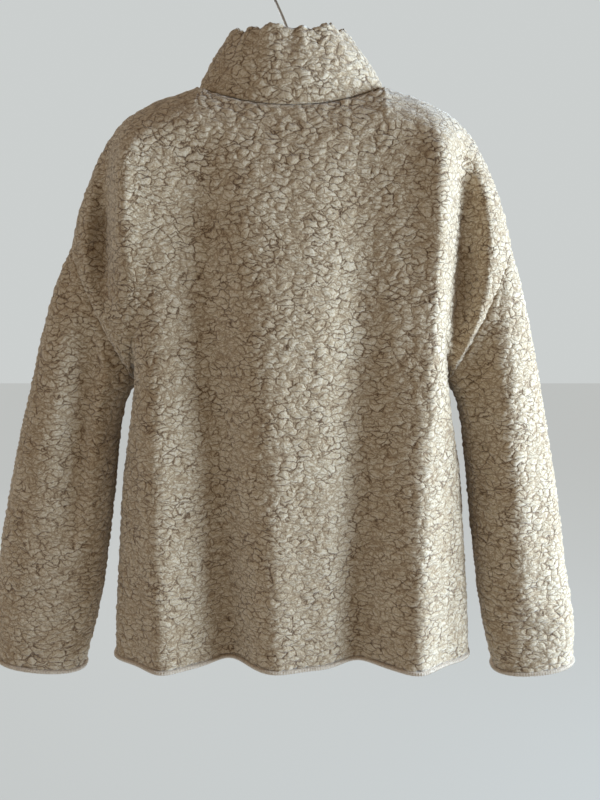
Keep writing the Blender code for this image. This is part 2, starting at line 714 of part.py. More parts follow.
def add_wire(name, points, radius, group, finish):
    """A round bar along a run of points, as a mesh with its caps welded."""
    curve = bpy.data.curves.new(name, "CURVE")
    curve.dimensions = "3D"
    curve.bevel_depth = radius
    curve.bevel_resolution = 2
    curve.use_fill_caps = True
    spline = curve.splines.new("POLY")
    spline.points.add(len(points) - 1)
    for point, place in zip(spline.points, points):
        point.co = (*place, 1.0)
    drawn = bpy.data.objects.new(name, curve)
    group.objects.link(drawn)
    seen = drawn.evaluated_get(bpy.context.evaluated_depsgraph_get())
    bm = bmesh.new()
    bm.from_mesh(bpy.data.meshes.new_from_object(seen))
    bmesh.ops.remove_doubles(bm, verts=bm.verts[:], dist=1e-6)
    bpy.data.objects.remove(drawn)
    return add_object(name, bm, group, finish)


def add_arms(group, finish):
    """One bar that carries both shoulders, just under the cloth's inner face."""
    inset = WALL + ARM_CLEAR + ARM_RADIUS
    half = []
    for fraction in np.linspace(0.0, ARM_SHARE, ARM_STEPS):
        x, z = smooth_line(SHOULDER_LINE, fraction)[0]
        before = smooth_line(SHOULDER_LINE, max(fraction - ARM_REACH, 0.0))[0]
        after = smooth_line(SHOULDER_LINE, fraction + ARM_REACH)[0]
        run = after - before
        up = np.array([-run[1], run[0]]) / math.hypot(*run)
        if x - up[0] * inset < ARM_END_X:
            half.append((x - up[0] * inset, z - up[1] * inset))
    start_x, start_z = half[0]
    crown = []
    for t in np.linspace(0.0, 1.0, CROWN_STEPS)[:-1]:
        crown.append((start_x * t, CROWN_Z + (start_z - CROWN_Z) * float(smoothstep(t))))
    right_way = crown + half
    whole = [(-x, z) for x, z in right_way[:0:-1]] + right_way
    return add_wire("hanger_arms", [(x, 0.0, z) for x, z in whole], ARM_RADIUS, group, finish)


def add_hook(group, finish):
    """The wire hook: a stem out of the crown, then a round turn over the rail."""
    radius = HOOK_INNER_RADIUS + WIRE_RADIUS
    centre_z = -HOOK_INNER_RADIUS
    turn = np.radians(np.linspace(HOOK_START_ANGLE, HOOK_END_ANGLE, HOOK_STEPS))
    bend = [(radius * math.cos(a), centre_z + radius * math.sin(a)) for a in turn]
    foot = CROWN_Z + ARM_RADIUS + SEAM_GAP
    stem = smooth_line(((0.0, foot), *HOOK_STEM, bend[0]), np.linspace(0.0, 1.0, STEM_STEPS))
    route = [(x, 0.0, z) for x, z in stem[:-1]] + [(x, 0.0, z) for x, z in bend]
    return add_wire("hanger_hook", route, WIRE_RADIUS, group, finish)


def main():
    for old in list(bpy.data.objects):
        bpy.data.objects.remove(old)
    group = collection(OBJECT_NAME)
    pile = material("pile_cream", (0.62, 0.50, 0.37), 0.95)
    bound = material("binding_cream", (0.66, 0.56, 0.44), 0.85)
    tape = material("zip_tape_cream", (0.60, 0.50, 0.38), 0.85)
    metal = material("zip_metal", (0.55, 0.52, 0.48), 0.35, 1.0)
    arm_finish = material("hanger_white", (0.80, 0.79, 0.77), 0.40)
    wire_finish = material("hook_steel", (0.55, 0.56, 0.58), 0.30, 1.0)

    for name, grid in panels().items():
        add_wall(name, *grid, WALL, group, pile)
        add_hem(name.replace("back", "hem_back").replace("front", "hem_front"), grid, group, bound)
    left = sleeve_grid(LEFT_SLEEVE, LEFT_SLEEVE_CREASES, 1.0)
    right = sleeve_grid(RIGHT_SLEEVE, RIGHT_SLEEVE_CREASES, -1.0)
    for name, grid in (("left", left), ("right", right)):
        add_wall("sleeve_" + name, *grid, WALL, group, pile, closed=True)
        add_cuff("cuff_binding_" + name, grid, group, bound)
    folded = np.full((COLLAR_STEPS + 1, 1, 1), COLLAR_WALL)
    folded[0] = WALL
    add_wall("collar", *collar_grid(), folded, group, pile)

    near = CHAIN_HALF_WIDTH + SEAM_GAP
    far = ZIP_OPENING - SEAM_GAP
    add_strip("zip_tape_left", near, far, TAPE_THICK, CHAIN_THICK / 2, group, tape)
    add_strip("zip_tape_right", -near, -far, TAPE_THICK, CHAIN_THICK / 2, group, tape)
    add_strip("zip_chain", -CHAIN_HALF_WIDTH, CHAIN_HALF_WIDTH, CHAIN_THICK, 0.0, group, metal)
    add_slider(group, metal)
    add_pull(group, metal)
    add_arms(group, arm_finish)
    add_hook(group, wire_finish)


main()
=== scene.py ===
"""The looks of a cream teddy fleece jacket with a stand collar, hanging on a plain hanger.

Metres, +Z up, the front faces -Y and the origin is the inner top of the hanger's hook. The
cloth is worked out from the same sizes as the part's source, on a finer grid, and its curled
pile is raised from it by the pattern that also colours it and paints shade into its gaps.
"""

import math

import bmesh
import bpy
import numpy as np
from mathutils import Matrix, Vector


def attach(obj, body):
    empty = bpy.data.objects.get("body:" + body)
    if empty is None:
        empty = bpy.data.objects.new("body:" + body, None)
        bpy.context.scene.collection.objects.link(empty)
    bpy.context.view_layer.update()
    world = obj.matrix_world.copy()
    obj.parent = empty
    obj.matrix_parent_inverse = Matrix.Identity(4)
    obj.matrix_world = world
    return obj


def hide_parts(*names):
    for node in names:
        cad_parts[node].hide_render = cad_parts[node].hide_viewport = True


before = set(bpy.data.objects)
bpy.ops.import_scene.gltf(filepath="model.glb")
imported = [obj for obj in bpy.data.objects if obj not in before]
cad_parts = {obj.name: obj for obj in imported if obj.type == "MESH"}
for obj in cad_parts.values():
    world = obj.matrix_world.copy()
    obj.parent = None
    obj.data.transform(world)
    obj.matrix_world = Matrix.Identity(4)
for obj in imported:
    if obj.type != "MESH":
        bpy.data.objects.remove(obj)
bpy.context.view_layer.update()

# Cloth
WALL = 0.0065
COLLAR_WALL = 0.009
SEAM_GAP = 0.0003
BINDING_DEPTH = 0.005
BINDING_PROUD = 0.0006
INNER_EVERY = 4  # the hidden face is this much coarser
GRID_DROP = 0.01  # what tells the hidden face from the outer one before both are placed
PILE_SUNK = 0.0030  # the knitted ground lies this far under the tips
PILE_RISE = 0.0021  # and the tallest curls rise this much from it
SEAM_PRESS = 0.0016  # a seam presses the pile down by this much
SEAM_REACH = 0.0065  # within this distance
SEAM_FLATNESS = 0.85  # share of the curls' height that a seam takes away
ARMHOLE_PRESS = 0.0005  # the dropped armhole seam hardly shows in the pile
NECK_TURN_REACH = 0.008  # the cloth's thickness turns to the neck seam's within this distance
ARMHOLE_TURN_REACH = 0.010  # and to the armhole's within this
SHOULDER_LEAN = 0.6  # how far the thickness at the shoulder seam leans outwards
SPACING_ROW = 0.28  # share of the drop where the columns are evenly spaced

# Body, as half widths from the centre line and heights below the hook
NECK_HALF_WIDTH = 0.110
NECK_HALF_DEPTH = 0.066
NECK_SIDE_Z = -0.131
NECK_BACK_Z = -0.162
NECK_FRONT_Z = -0.205
UNDERARM_X = 0.190
UNDERARM_Z = -0.480
HEM_Z = -0.829
ARMHOLE_HALF_DEPTH = 0.044
ARMHOLE_LEAN_TOP = 0.080
ARMHOLE_LEAN_UNDER = 0.037
NECK_SHARE = 0.40
NECK_EVENNESS = 0.5
NECK_TILT = 1.3
SIDE_SQUARENESS = 2.4
DEPTH_SQUARENESS = 3.4
SHOULDER_ROUND = 0.055
SHOULDER_LINE = (  # x, z from the neck to the dropped armhole
    (NECK_HALF_WIDTH, NECK_SIDE_Z),
    (0.151, -0.1440),
    (0.175, -0.1550),
    (0.196, -0.1680),
    (0.213, -0.1850),
    (0.231, -0.2130),
    (0.245, -0.2430),
    (0.257, -0.2740),
    (0.267, -0.3120),
)
SIDE_LINE = (  # z, half width of the body below the underarm
    (UNDERARM_Z, UNDERARM_X),
    (-0.520, 0.1950),
    (-0.570, 0.2045),
    (-0.625, 0.2135),
    (-0.700, 0.2215),
    (-0.780, 0.2290),
    (HEM_Z, 0.2310),
)
PANEL_WIDTH = (  # share of the drop, half width that the inner columns spread to
    (0.00, 0.2670),
    (0.14, 0.2320),
    (0.32, 0.1960),
    (0.60, 0.2125),
    (1.00, 0.2310),
)
BACK_DEPTH = (  # z, y of the back panel's middle
    (-0.160, 0.0700),
    (-0.250, 0.0850),
    (-0.400, 0.0880),
    (-0.600, 0.0760),
    (HEM_Z, 0.0580),
)
FRONT_DEPTH = (  # z, distance of the front panels in front of the hanger
    (-0.200, 0.0660),
    (-0.300, 0.0760),
    (-0.450, 0.0800),
    (-0.620, 0.0740),
    (HEM_Z, 0.0620),
)
BLADE_EDGE = 0.198
BLADE_ROLL = 0.017
ARMHOLE_EASE = 0.72
CREASE_EASE = 0.80
FRONT_SIDE_BULGE = 0.012
FRONT_SIDE_START = 0.70
FOLD_GROWTH = 0.8

# Folds that hang down a panel: x and z at the top, x at the hem, half width, depth at the hem
BACK_FOLDS = (
    (0.164, -0.160, 0.162, 0.028, 0.021),
    (0.100, -0.170, 0.080, 0.029, -0.032),
    (0.024, -0.220, 0.020, 0.032, 0.012),
    (-0.072, -0.220, -0.083, 0.029, -0.026),
    (-0.156, -0.170, -0.158, 0.030, 0.022),
)
FRONT_FOLDS = (
    (0.160, -0.360, 0.172, 0.026, 0.014),
    (0.115, -0.330, 0.112, 0.024, -0.022),
    (0.055, -0.350, 0.060, 0.026, 0.012),
    (-0.050, -0.340, -0.055, 0.026, 0.010),
    (-0.105, -0.320, -0.112, 0.026, -0.024),
    (-0.165, -0.350, -0.170, 0.028, 0.016),
)

# Creases that fade at both ends: x, z at the top, x, z at the end, half width, depth
BACK_CREASES = (
    (0.216, -0.175, 0.228, -0.430, 0.014, -0.026),
    (0.186, -0.150, 0.192, -0.470, 0.020, 0.013),
    (-0.199, -0.175, -0.208, -0.480, 0.018, -0.038),
    (-0.164, -0.150, -0.174, -0.540, 0.019, 0.012),
    (0.105, -0.190, 0.104, -0.560, 0.034, -0.012),
    (-0.085, -0.190, -0.084, -0.560, 0.036, -0.009),
)
FRONT_CREASES = (
    (0.206, -0.210, 0.216, -0.400, 0.014, -0.011),
    (-0.204, -0.200, -0.214, -0.420, 0.014, -0.013),
    (0.130, -0.240, 0.170, -0.440, 0.020, 0.006),
    (-0.120, -0.230, -0.165, -0.430, 0.022, 0.007),
)
# Small creases pressed into the finished cloth, in any direction: x, z, x, z, half width, depth
BACK_WRINKLES = (
    (0.060, -0.262, 0.150, -0.286, 0.009, -0.0016),
    (-0.020, -0.246, -0.120, -0.262, 0.008, -0.0014),
    (0.120, -0.420, 0.180, -0.455, 0.010, -0.0024),
    (0.135, -0.470, 0.182, -0.490, 0.008, -0.0018),
    (-0.120, -0.430, -0.180, -0.462, 0.010, -0.0020),
    (-0.030, -0.560, 0.030, -0.590, 0.012, 0.0016),
)
FRONT_WRINKLES = (
    (0.070, -0.272, 0.140, -0.300, 0.009, -0.0016),
    (0.130, -0.440, 0.182, -0.470, 0.010, -0.0024),
    (-0.125, -0.420, -0.180, -0.458, 0.010, -0.0022),
    (-0.060, -0.290, -0.150, -0.320, 0.009, -0.0016),
    (-0.060, -0.580, -0.130, -0.600, 0.012, 0.0015),
)
RIGHT_SLEEVE_WRINKLES = ((0.222, -0.640, 0.252, -0.830, 0.010, -0.005),)
SLEEVE_WRINKLES = (
    (0.250, -0.300, 0.292, -0.470, 0.008, -0.0016),
    (0.235, -0.520, 0.300, -0.560, 0.010, -0.0022),
    (0.250, -0.640, 0.325, -0.672, 0.011, -0.0024),
    (0.290, -0.730, 0.372, -0.758, 0.010, -0.0022),
    (0.262, -0.770, 0.330, -0.800, 0.008, -0.0018),
)

# Sleeves: outer x, z and inner x, z of each ring as seen from behind, half depth, middle's y
LEFT_SLEEVE = (
    (0.2880, -0.3600, 0.2040, -0.5000, 0.047, 0.000),
    (0.3060, -0.4170, 0.2130, -0.5350, 0.050, 0.002),
    (0.3210, -0.4760, 0.2190, -0.5800, 0.051, 0.003),
    (0.3360, -0.5300, 0.2245, -0.6250, 0.050, 0.004),
    (0.3540, -0.6020, 0.2325, -0.6800, 0.048, 0.003),
    (0.3740, -0.6900, 0.2440, -0.7500, 0.044, 0.001),
    (0.3860, -0.7670, 0.2580, -0.8050, 0.040, -0.002),
    (0.3880, -0.8400, 0.2720, -0.8530, 0.036, -0.004),
)
RIGHT_SLEEVE = (
    (0.2830, -0.3680, 0.2030, -0.5000, 0.047, 0.000),
    (0.2980, -0.4300, 0.2120, -0.5350, 0.050, -0.001),
    (0.3120, -0.4920, 0.2180, -0.5800, 0.050, -0.002),
    (0.3240, -0.5500, 0.2240, -0.6250, 0.049, -0.003),
    (0.3390, -0.6250, 0.2310, -0.6850, 0.047, -0.003),
    (0.3530, -0.7100, 0.2400, -0.7500, 0.044, -0.002),
    (0.3680, -0.7900, 0.2500, -0.8060, 0.041, 0.000),
    (0.3690, -0.8400, 0.2620, -0.8530, 0.037, 0.001),
)
LEFT_SLEEVE_CREASES = (
    (0.210, -0.400, 0.240, -0.660, 0.016, 0.010),
    (0.238, -0.400, 0.274, -0.680, 0.017, -0.017),
)
RIGHT_SLEEVE_CREASES = (
    (0.212, -0.380, 0.243, -0.800, 0.016, -0.013),
    (0.250, -0.400, 0.290, -0.780, 0.026, 0.010),
)
RING_ROUNDNESS = 0.9  # a sleeve's rings are this much squarer than an ellipse
RING_CHANGE = 15.0  # shares of a sleeve's length over which they become so

# Collar, as half widths and half depths at its top edge
COLLAR_TOP_HALF_WIDTH = 0.068
COLLAR_TOP_HALF_DEPTH = 0.056
COLLAR_TOP_SIDE_Z = -0.070
COLLAR_TOP_BACK_Z = -0.078
COLLAR_TOP_FRONT_Z = -0.120
COLLAR_BULGE = 0.003
COLLAR_LIFT = 0.0004

# Front zip
ZIP_OPENING = 0.010
TAPE_THICK = 0.0012
TAPE_CORD_STEPS = (0.0, 0.0008, 0.0017, 0.0032)  # from the tape's inner edge over its cord
TAPE_SELVEDGE = 0.0006
TAPE_SHARES = (1.6, 1.9, 1.1, 0.9, 0.9, 0.5)  # of its half thickness, from edge to edge
CHAIN_HALF_WIDTH = 0.003
CHAIN_THICK = 0.0024
TOOTH_PITCH = 0.0026
TOOTH_SIZE = (0.0042, 0.0021, 0.00125)
TOOTH_OFFSET = 0.0009  # from the zip's middle to a tooth's middle
TOOTH_BEVEL = 0.00035
ZIP_END = 0.004  # from the first and last tooth to the zip's ends
SLIDER_DOWN = 0.30  # share of the front collar's height
SLIDER_LENGTH = 0.011
SLIDER_HALF_WIDTH = 0.0042
SLIDER_PLATE = 0.0016
FLANGE_THICK = 0.0012
FLANGE_HEIGHT = 0.0030
FLANGE_ROUND = 0.36  # a flange's radius as a share of the slider's length
SLIDER_BEVEL = 0.00045
PULL_LENGTH = 0.028
PULL_HALF_WIDTH = 0.0027
PULL_THICK = 0.0014
PULL_CLEAR = 0.0003
PULL_PIVOT_UP = 0.002
PULL_BEVEL = 0.00028

# Hanger
CROWN_Z = -0.124
ARM_RADIUS = 0.006
WIRE_RADIUS = 0.0015
HOOK_INNER_RADIUS = 0.021
HOOK_START_ANGLE = -38.0
HOOK_END_ANGLE = 205.0
HOOK_STEM = ((0.001, -0.090), (0.003, -0.070), (0.0085, -0.0545))  # x, z

# Pattern of the curled pile
PILE_WARPS = ((60.0, 0.0110), (190.0, 0.0050), (520.0, 0.0015))  # noise scale, push
PILE_STRETCH = (0.70, 0.70, 1.50)  # the curls lie mostly across
LARGE_GAP = (0.0098, 0.125)  # cushion size, width of the gap as a share of it
SMALL_GAP = (0.0050, 0.200)
CUSHION = (0.0098, 0.330)  # the rounding of a whole cushion, which the mesh is raised by
GAP_STEEPNESS = 0.8
COLLAR_SHIFT = (0.41, 1.13, 1.1)  # so that the collar's curls don't run on from the back's

# The finer grids of the cloth, as rows down and columns across or round
BACK_HALF_COLUMNS = 112
FRONT_COLUMNS = 112
PANEL_ROWS = 262
SLEEVE_COLUMNS = 150
SLEEVE_ROWS = 215
COLLAR_STEPS = 5  # the part's own steps up the collar, over the first of which it thickens
COLLAR_ROWS = 38
COLLAR_COLUMNS = 236
COLLAR_LUMPS = ((5.0, 0.4, 0.0014), (11.0, 2.1, 0.0011), (17.0, 1.0, 0.0005))
COLLAR_LUMP_LIFT = 1.1  # share of a lump's depth that the top edge rises by
LAYER_HALF = 0.0005  # least half thickness of the collar's ground
FOLD_HALF = 0.00015  # half the space between its two layers
ROLL_STEPS = 3
ROLL_DROP = 0.0022  # the fold's middle lies this far under the part's top edge
TAPE_ROWS = 240

# The overlocked edges
STRIP_CORNERS = 14
STRIP_SQUARENESS = 0.7
STRIP_LUMP = 0.05  # share of the strip's size that its lumps rise by
STRIP_LUMP_TURNS = (760.0, 95.0)  # how fast the lumps and their drift go along it
STRIP_INSET = (0.97, 0.95)  # the strip's share of the binding's thickness and depth
STITCH_PITCH = 0.0034
THREAD_RADIUS = 0.00042
THREAD_LEAN = 0.0009  # a stitch's end lies this far beside its start


def smooth_line(points, fractions):
    """Places on a Catmull-Rom curve through the points, at fractions of its chord length."""
    p = np.array(points, float)
    lengths = np.linalg.norm(np.diff(p, axis=0), axis=1)
    marks = np.concatenate(([0.0], np.cumsum(lengths))) / lengths.sum()
    padded = np.vstack((2 * p[0] - p[1], p, 2 * p[-1] - p[-2]))
    f = np.atleast_1d(np.asarray(fractions, float))
    i = np.clip(np.searchsorted(marks, f, side="right") - 1, 0, len(p) - 2)
    t = ((f - marks[i]) / (marks[i + 1] - marks[i]))[:, None]
    a, b, c, d = padded[i], padded[i + 1], padded[i + 2], padded[i + 3]
    curve = 2 * b + (c - a) * t + (2 * a - 5 * b + 4 * c - d) * t**2
    return 0.5 * (curve + (3 * b - a - 3 * c + d) * t**3)


def read_table(table, z):
    heights, values = zip(*table)
    return np.interp(-z, [-h for h in heights], values)


def smooth_height(table, share):
    """The second column of a short table on one smooth curve, read at shares of its first."""
    shares, values = (np.array(column) for column in zip(*table))
    i = np.clip(np.searchsorted(shares, share, side="right") - 1, 0, len(table) - 2)
    slopes = np.gradient(values, shares)
    step = shares[i + 1] - shares[i]
    t = (share - shares[i]) / step
    start = values[i] * (2 * t**3 - 3 * t**2 + 1) + slopes[i] * step * (t**3 - 2 * t**2 + t)
    return start + values[i + 1] * (3 * t**2 - 2 * t**3) + slopes[i + 1] * step * (t**3 - t**2)


def smoothstep(t):
    t = np.clip(t, 0.0, 1.0)
    return t * t * (3 - 2 * t)


def unit(v):
    return v / np.linalg.norm(v, axis=-1, keepdims=True)


ARMHOLE_TOP = np.array([SHOULDER_LINE[-1][0], 0.0, SHOULDER_LINE[-1][1]])
UNDERARM = np.array([UNDERARM_X, 0.0, UNDERARM_Z])
ARMHOLE_UP = unit(ARMHOLE_TOP - UNDERARM)
ARMHOLE_OUT = np.array([-ARMHOLE_UP[2], 0.0, ARMHOLE_UP[0]]) * -1.0
ARMHOLE_DROP = (UNDERARM_Z - ARMHOLE_TOP[2]) / (HEM_Z - ARMHOLE_TOP[2])


def neck_turn(s):
    """The angle round the neck at shares s of a half panel, from its middle to its side."""
    share = np.clip(s / NECK_SHARE, 0, 1)
    even = np.sin(math.radians(90) * share)
    return np.arcsin(np.clip(NECK_EVENNESS * even + (1 - NECK_EVENNESS) * share, 0, 1))


def top_edge(s, side):
    """The neck and shoulder line at shares s of a half panel, as x, y, z."""
    line = smooth_line(SHOULDER_LINE, np.clip((s - NECK_SHARE) / (1 - NECK_SHARE), 0, 1))
    turn = neck_turn(s)
    middle_z = NECK_BACK_Z if side > 0 else NECK_FRONT_Z
    neck_z = NECK_SIDE_Z + (middle_z - NECK_SIDE_Z) * np.cos(turn) ** 2
    at_neck = s < NECK_SHARE
    x = np.where(at_neck, NECK_HALF_WIDTH * np.sin(turn), line[:, 0])
    y = np.where(at_neck, side * NECK_HALF_DEPTH * np.cos(turn), 0.0)
    return x, y, np.where(at_neck, neck_z, line[:, 1])


def edge_width(share):
    """Half width of the body's edge at shares of the drop: the armhole, then the side seam."""
    armhole = ARMHOLE_TOP[0] + (UNDERARM_X - ARMHOLE_TOP[0]) * share / ARMHOLE_DROP
    z = ARMHOLE_TOP[2] + (HEM_Z - ARMHOLE_TOP[2]) * share
    return np.where(share <= ARMHOLE_DROP, armhole, read_table(SIDE_LINE, z))


def edge_depth(share):
    u = np.clip(share / ARMHOLE_DROP, 0, 1)
    return 2 * ARMHOLE_HALF_DEPTH * np.sqrt(np.clip(u * (1 - u), 0, None))


def fold_depth(folds, x, z):
    total = np.zeros(np.broadcast(x, z).shape)
    for top_x, top_z, hem_x, half_width, depth in folds:
        fall = np.clip((z - top_z) / (HEM_Z - top_z), 0, None)
        across = (x - top_x - (hem_x - top_x) * fall) / half_width
        total += depth * smoothstep(fall) ** FOLD_GROWTH * np.exp(-across * across)
    return total


def crease_depth(creases, x, z):
    total = np.zeros(np.broadcast(x, z).shape)
    for top_x, top_z, end_x, end_z, half_width, depth in creases:
        along = np.clip((z - top_z) / (end_z - top_z), 0, 1)
        across = (x - top_x - (end_x - top_x) * along) / half_width
        total += depth * np.sin(math.pi * along) ** 0.5 * np.exp(-across * across)
    return total


def wrinkle_depth(wrinkles, x, z):
    """How far small creases push the cloth out, each faded towards the ends of its own line."""
    total = np.zeros(np.broadcast(x, z).shape)
    for ax, az, bx, bz, half_width, depth in wrinkles:
        length2 = (bx - ax) ** 2 + (bz - az) ** 2
        along = np.clip(((x - ax) * (bx - ax) + (z - az) * (bz - az)) / length2, 0, 1)
        off = np.hypot(x - ax - (bx - ax) * along, z - az - (bz - az) * along) / half_width
        total += depth * np.sin(math.pi * along) ** 0.7 * np.exp(-off * off)
    return total


def zip_spread(s):
    """How far the zip holds the front edges out from the neck's own line."""
    return ZIP_OPENING * np.clip(1 - s / NECK_SHARE, 0, None) ** 1.5


def panel_points(s, share, side, hand):
    """A body panel's outer face: a row for each share of the drop, a column for each s."""
    top_x, top_y, top_z = top_edge(s, side)
    share = share[:, None]
    z = top_z + (HEM_Z - top_z) * share
    width = smooth_height(PANEL_WIDTH, share)
    turn = math.radians(90) * s
    reach = np.sin(turn) ** (2 / SIDE_SQUARENESS)
    bulge = np.clip(np.cos(turn), 0, 1) ** (2 / DEPTH_SQUARENESS) * (s < 1)
    lowered = smoothstep(share / ARMHOLE_DROP)
    x = width * ((1 - lowered) * top_x / ARMHOLE_TOP[0] + lowered * reach)
    x = x + (edge_width(share) - width) * s**3
    middle = read_table(BACK_DEPTH if side > 0 else FRONT_DEPTH, z)
    edge = edge_depth(share)
    near_edge = smoothstep((s - ARMHOLE_EASE) / (1 - ARMHOLE_EASE))
    blade = 0.5 - 0.5 * np.tanh((x - BLADE_EDGE) / BLADE_ROLL)
    hung = ARMHOLE_HALF_DEPTH + (middle - ARMHOLE_HALF_DEPTH) * blade
    drop = np.clip((top_z - z) / SHOULDER_ROUND, 0, 1)
    rounded = np.sqrt(1 - (1 - drop) ** 2)
    start = np.abs(top_y)
    upper = start + (hung - start) * rounded
    upper = upper + (edge - upper) * near_edge
    eased = ARMHOLE_HALF_DEPTH * (1 - lowered)
    lower = eased + (middle - eased) * bulge + (edge - eased) * near_edge
    depth = upper + (lower - upper) * lowered
    folds = BACK_FOLDS if side > 0 else FRONT_FOLDS
    creases = BACK_CREASES if side > 0 else FRONT_CREASES
    wrinkles = BACK_WRINKLES if side > 0 else FRONT_WRINKLES
    pushed = fold_depth(folds, hand * x, z) + crease_depth(creases, hand * x, z)
    pushed = pushed + wrinkle_depth(wrinkles, hand * x, z)
    depth = depth + pushed * drop * (1 - smoothstep((s - CREASE_EASE) / (1 - CREASE_EASE)))
    if side < 0:
        x = x + zip_spread(s)
        beside = np.clip((s - FRONT_SIDE_START) / (1 - FRONT_SIDE_START), 0, 1)
        fallen = np.clip((UNDERARM_Z - z) / (UNDERARM_Z - HEM_Z), 0, 1)
        bulge_here = np.sin(math.pi * fallen**0.7)
        x = x + FRONT_SIDE_BULGE * np.sin(math.pi * beside) * bulge_here
    return np.stack((hand * x, side * depth, z), axis=-1)


def wall_directions(points):
    return unit(np.cross(np.gradient(points, axis=1), np.gradient(points, axis=0)))


def armhole_direction(turn, side, hand):
    """The direction that the cloth's thickness takes at the armhole seam."""
    height = np.linalg.norm(ARMHOLE_TOP - UNDERARM)
    cosine = np.cos(turn)
    lean = np.where(cosine > 0, ARMHOLE_LEAN_TOP, ARMHOLE_LEAN_UNDER)
    out = ARMHOLE_UP * (cosine * ARMHOLE_HALF_DEPTH * 2)[:, None]
    lift = np.stack((np.abs(cosine) * lean, side * np.sin(turn) * height, 0 * cosine), axis=-1)
    return unit((out + lift) * np.array([hand, 1.0, 1.0]))


def neck_direction(s, side, hand):
    turn = neck_turn(s)
    across = hand * np.sin(turn) * NECK_HALF_DEPTH
    forward = side * np.cos(turn) * NECK_HALF_WIDTH
    flat = unit(np.stack((across, forward, 0 * turn), axis=-1))
    lift = np.stack((0 * turn, 0 * turn, NECK_TILT * np.sin(turn) ** 2), axis=-1)
    return unit(flat + lift)


def arc_lengths(points, axis):
    """Distance travelled along each row or column of a grid of points."""
    steps = np.linalg.norm(np.diff(points, axis=axis), axis=-1)
    start = np.zeros_like(np.take(steps, [0], axis=axis))
    return np.concatenate((start, np.cumsum(steps, axis=axis)), axis=axis)


def read_line(line, travelled, marks):
    """A line's own values at distances along it."""
    return np.stack([np.interp(marks, travelled, line[:, i]) for i in range(3)], axis=-1)


def blend_directions(out, wanted, weight):
    return unit(out * (1 - weight[..., None]) + wanted * weight[..., None])


def even_shares(points_of, count):
    """Shares spaced evenly along a line that is known only through its points."""
    fine = np.linspace(0, 1, 400)
    travelled = arc_lengths(points_of(fine), 0)
    return np.interp(np.linspace(0, travelled[-1], count), travelled, fine)


def seam_fall(distance):
    """How strongly a seam presses the pile at a distance from it: 1 on it, 0 beyond reach."""
    return 1 - smoothstep(distance / SEAM_REACH)


def half_panel(side, hand, across_count, down_count):
    """Points, outward directions and seam presses of half a body panel."""
    row = np.array([SPACING_ROW])
    s = even_shares(lambda f: panel_points(f, row, side, hand)[0], across_count)
    down = even_shares(
        lambda f: np.stack((edge_width(f), edge_depth(f), HEM_Z * f), axis=-1), down_count
    )
    points = panel_points(s, down, side, hand)
    out = wall_directions(points) * side * hand
    across, along = arc_lengths(points, 1), arc_lengths(points, 0)
    to_side = across[:, -1:] - across
    at_neck = (s <= NECK_SHARE)[None, :]
    neck = neck_direction(np.minimum(s, NECK_SHARE), side, hand)[None]
    top_out = np.where(at_neck[..., None], neck, unit(np.array([SHOULDER_LEAN * hand, 0.0, 1.0])))
    turned = np.where(at_neck, 1 - smoothstep(along / NECK_TURN_REACH), 0)
    out = blend_directions(out, top_out, turned)
    turn = np.arccos(1 - 2 * np.clip(down / ARMHOLE_DROP, 0, 1))
    armhole = armhole_direction(turn, side, hand)
    armhole[down > ARMHOLE_DROP] = (hand, 0.0, 0.0)
    turned = 1 - smoothstep(to_side / ARMHOLE_TURN_REACH)
    out = blend_directions(out, armhole[:, None], turned)
    joined = np.where(down > ARMHOLE_DROP, SEAM_PRESS, ARMHOLE_PRESS)[:, None]
    sewn = np.where(at_neck, SEAM_PRESS, ARMHOLE_PRESS)
    press = np.maximum(joined * seam_fall(to_side), sewn * seam_fall(along))
    half = SEAM_GAP / 2
    points[0, s >= NECK_SHARE, 1] += side * half
    below = down > ARMHOLE_DROP
    points[~below, -1] -= ARMHOLE_OUT * np.array([hand, 1, 1]) * half
    points[below, -1, 1] += side * half
    return points, out, press


def sleeve_panel(rings, creases, hand, around_count, along_count):
    """A sleeve as it is cut: columns from the underarm seam right round to it again."""
    start = (*ARMHOLE_TOP[[0, 2]], UNDERARM_X, UNDERARM_Z, ARMHOLE_HALF_DEPTH, 0.0)
    fractions = np.linspace(0, 1, along_count)
    table = smooth_line((start, *rings), fractions)[..., None]
    outer_x, outer_z, inner_x, inner_z, half_depth, middle_y = (table[:, i] for i in range(6))
    turn = np.linspace(math.pi, -math.pi, around_count)[None, :]
    power = 1 - (1 - RING_ROUNDNESS) * smoothstep(fractions * RING_CHANGE)[:, None]
    cosine, sine = np.cos(turn), np.sin(turn)
    sine = np.where(np.abs(sine) < 1e-9, 0.0, sine)
    reach = 0.5 + 0.5 * np.sign(cosine) * np.abs(cosine) ** power
    lift = np.sign(sine) * np.abs(sine) ** power
    x = inner_x + (outer_x - inner_x) * reach
    z = inner_z + (outer_z - inner_z) * reach
    wrinkles = SLEEVE_WRINKLES + (RIGHT_SLEEVE_WRINKLES if hand < 0 else ())
    pushed = crease_depth(creases, x, z) + wrinkle_depth(wrinkles, x, z)
    settled = smoothstep(fractions * RING_CHANGE)[:, None]
    y = middle_y + lift * (half_depth + pushed * np.abs(lift) * settled)
    points = np.stack((hand * x, y, z), axis=-1)
    out = wall_directions(points) * hand
    across, along = arc_lengths(points, 1), arc_lengths(points, 0)
    shoulder = armhole_direction(np.abs(turn[0]), np.sign(np.sin(turn[0])), hand)
    out = blend_directions(out, shoulder[None], 1 - smoothstep(along / ARMHOLE_TURN_REACH))
    points[0] += ARMHOLE_OUT * np.array([hand, 1, 1]) * SEAM_GAP / 2
    under = np.minimum(across, across[:, -1:] - across)
    press = np.maximum(ARMHOLE_PRESS * seam_fall(along), SEAM_PRESS * seam_fall(under))
    return points, out, press


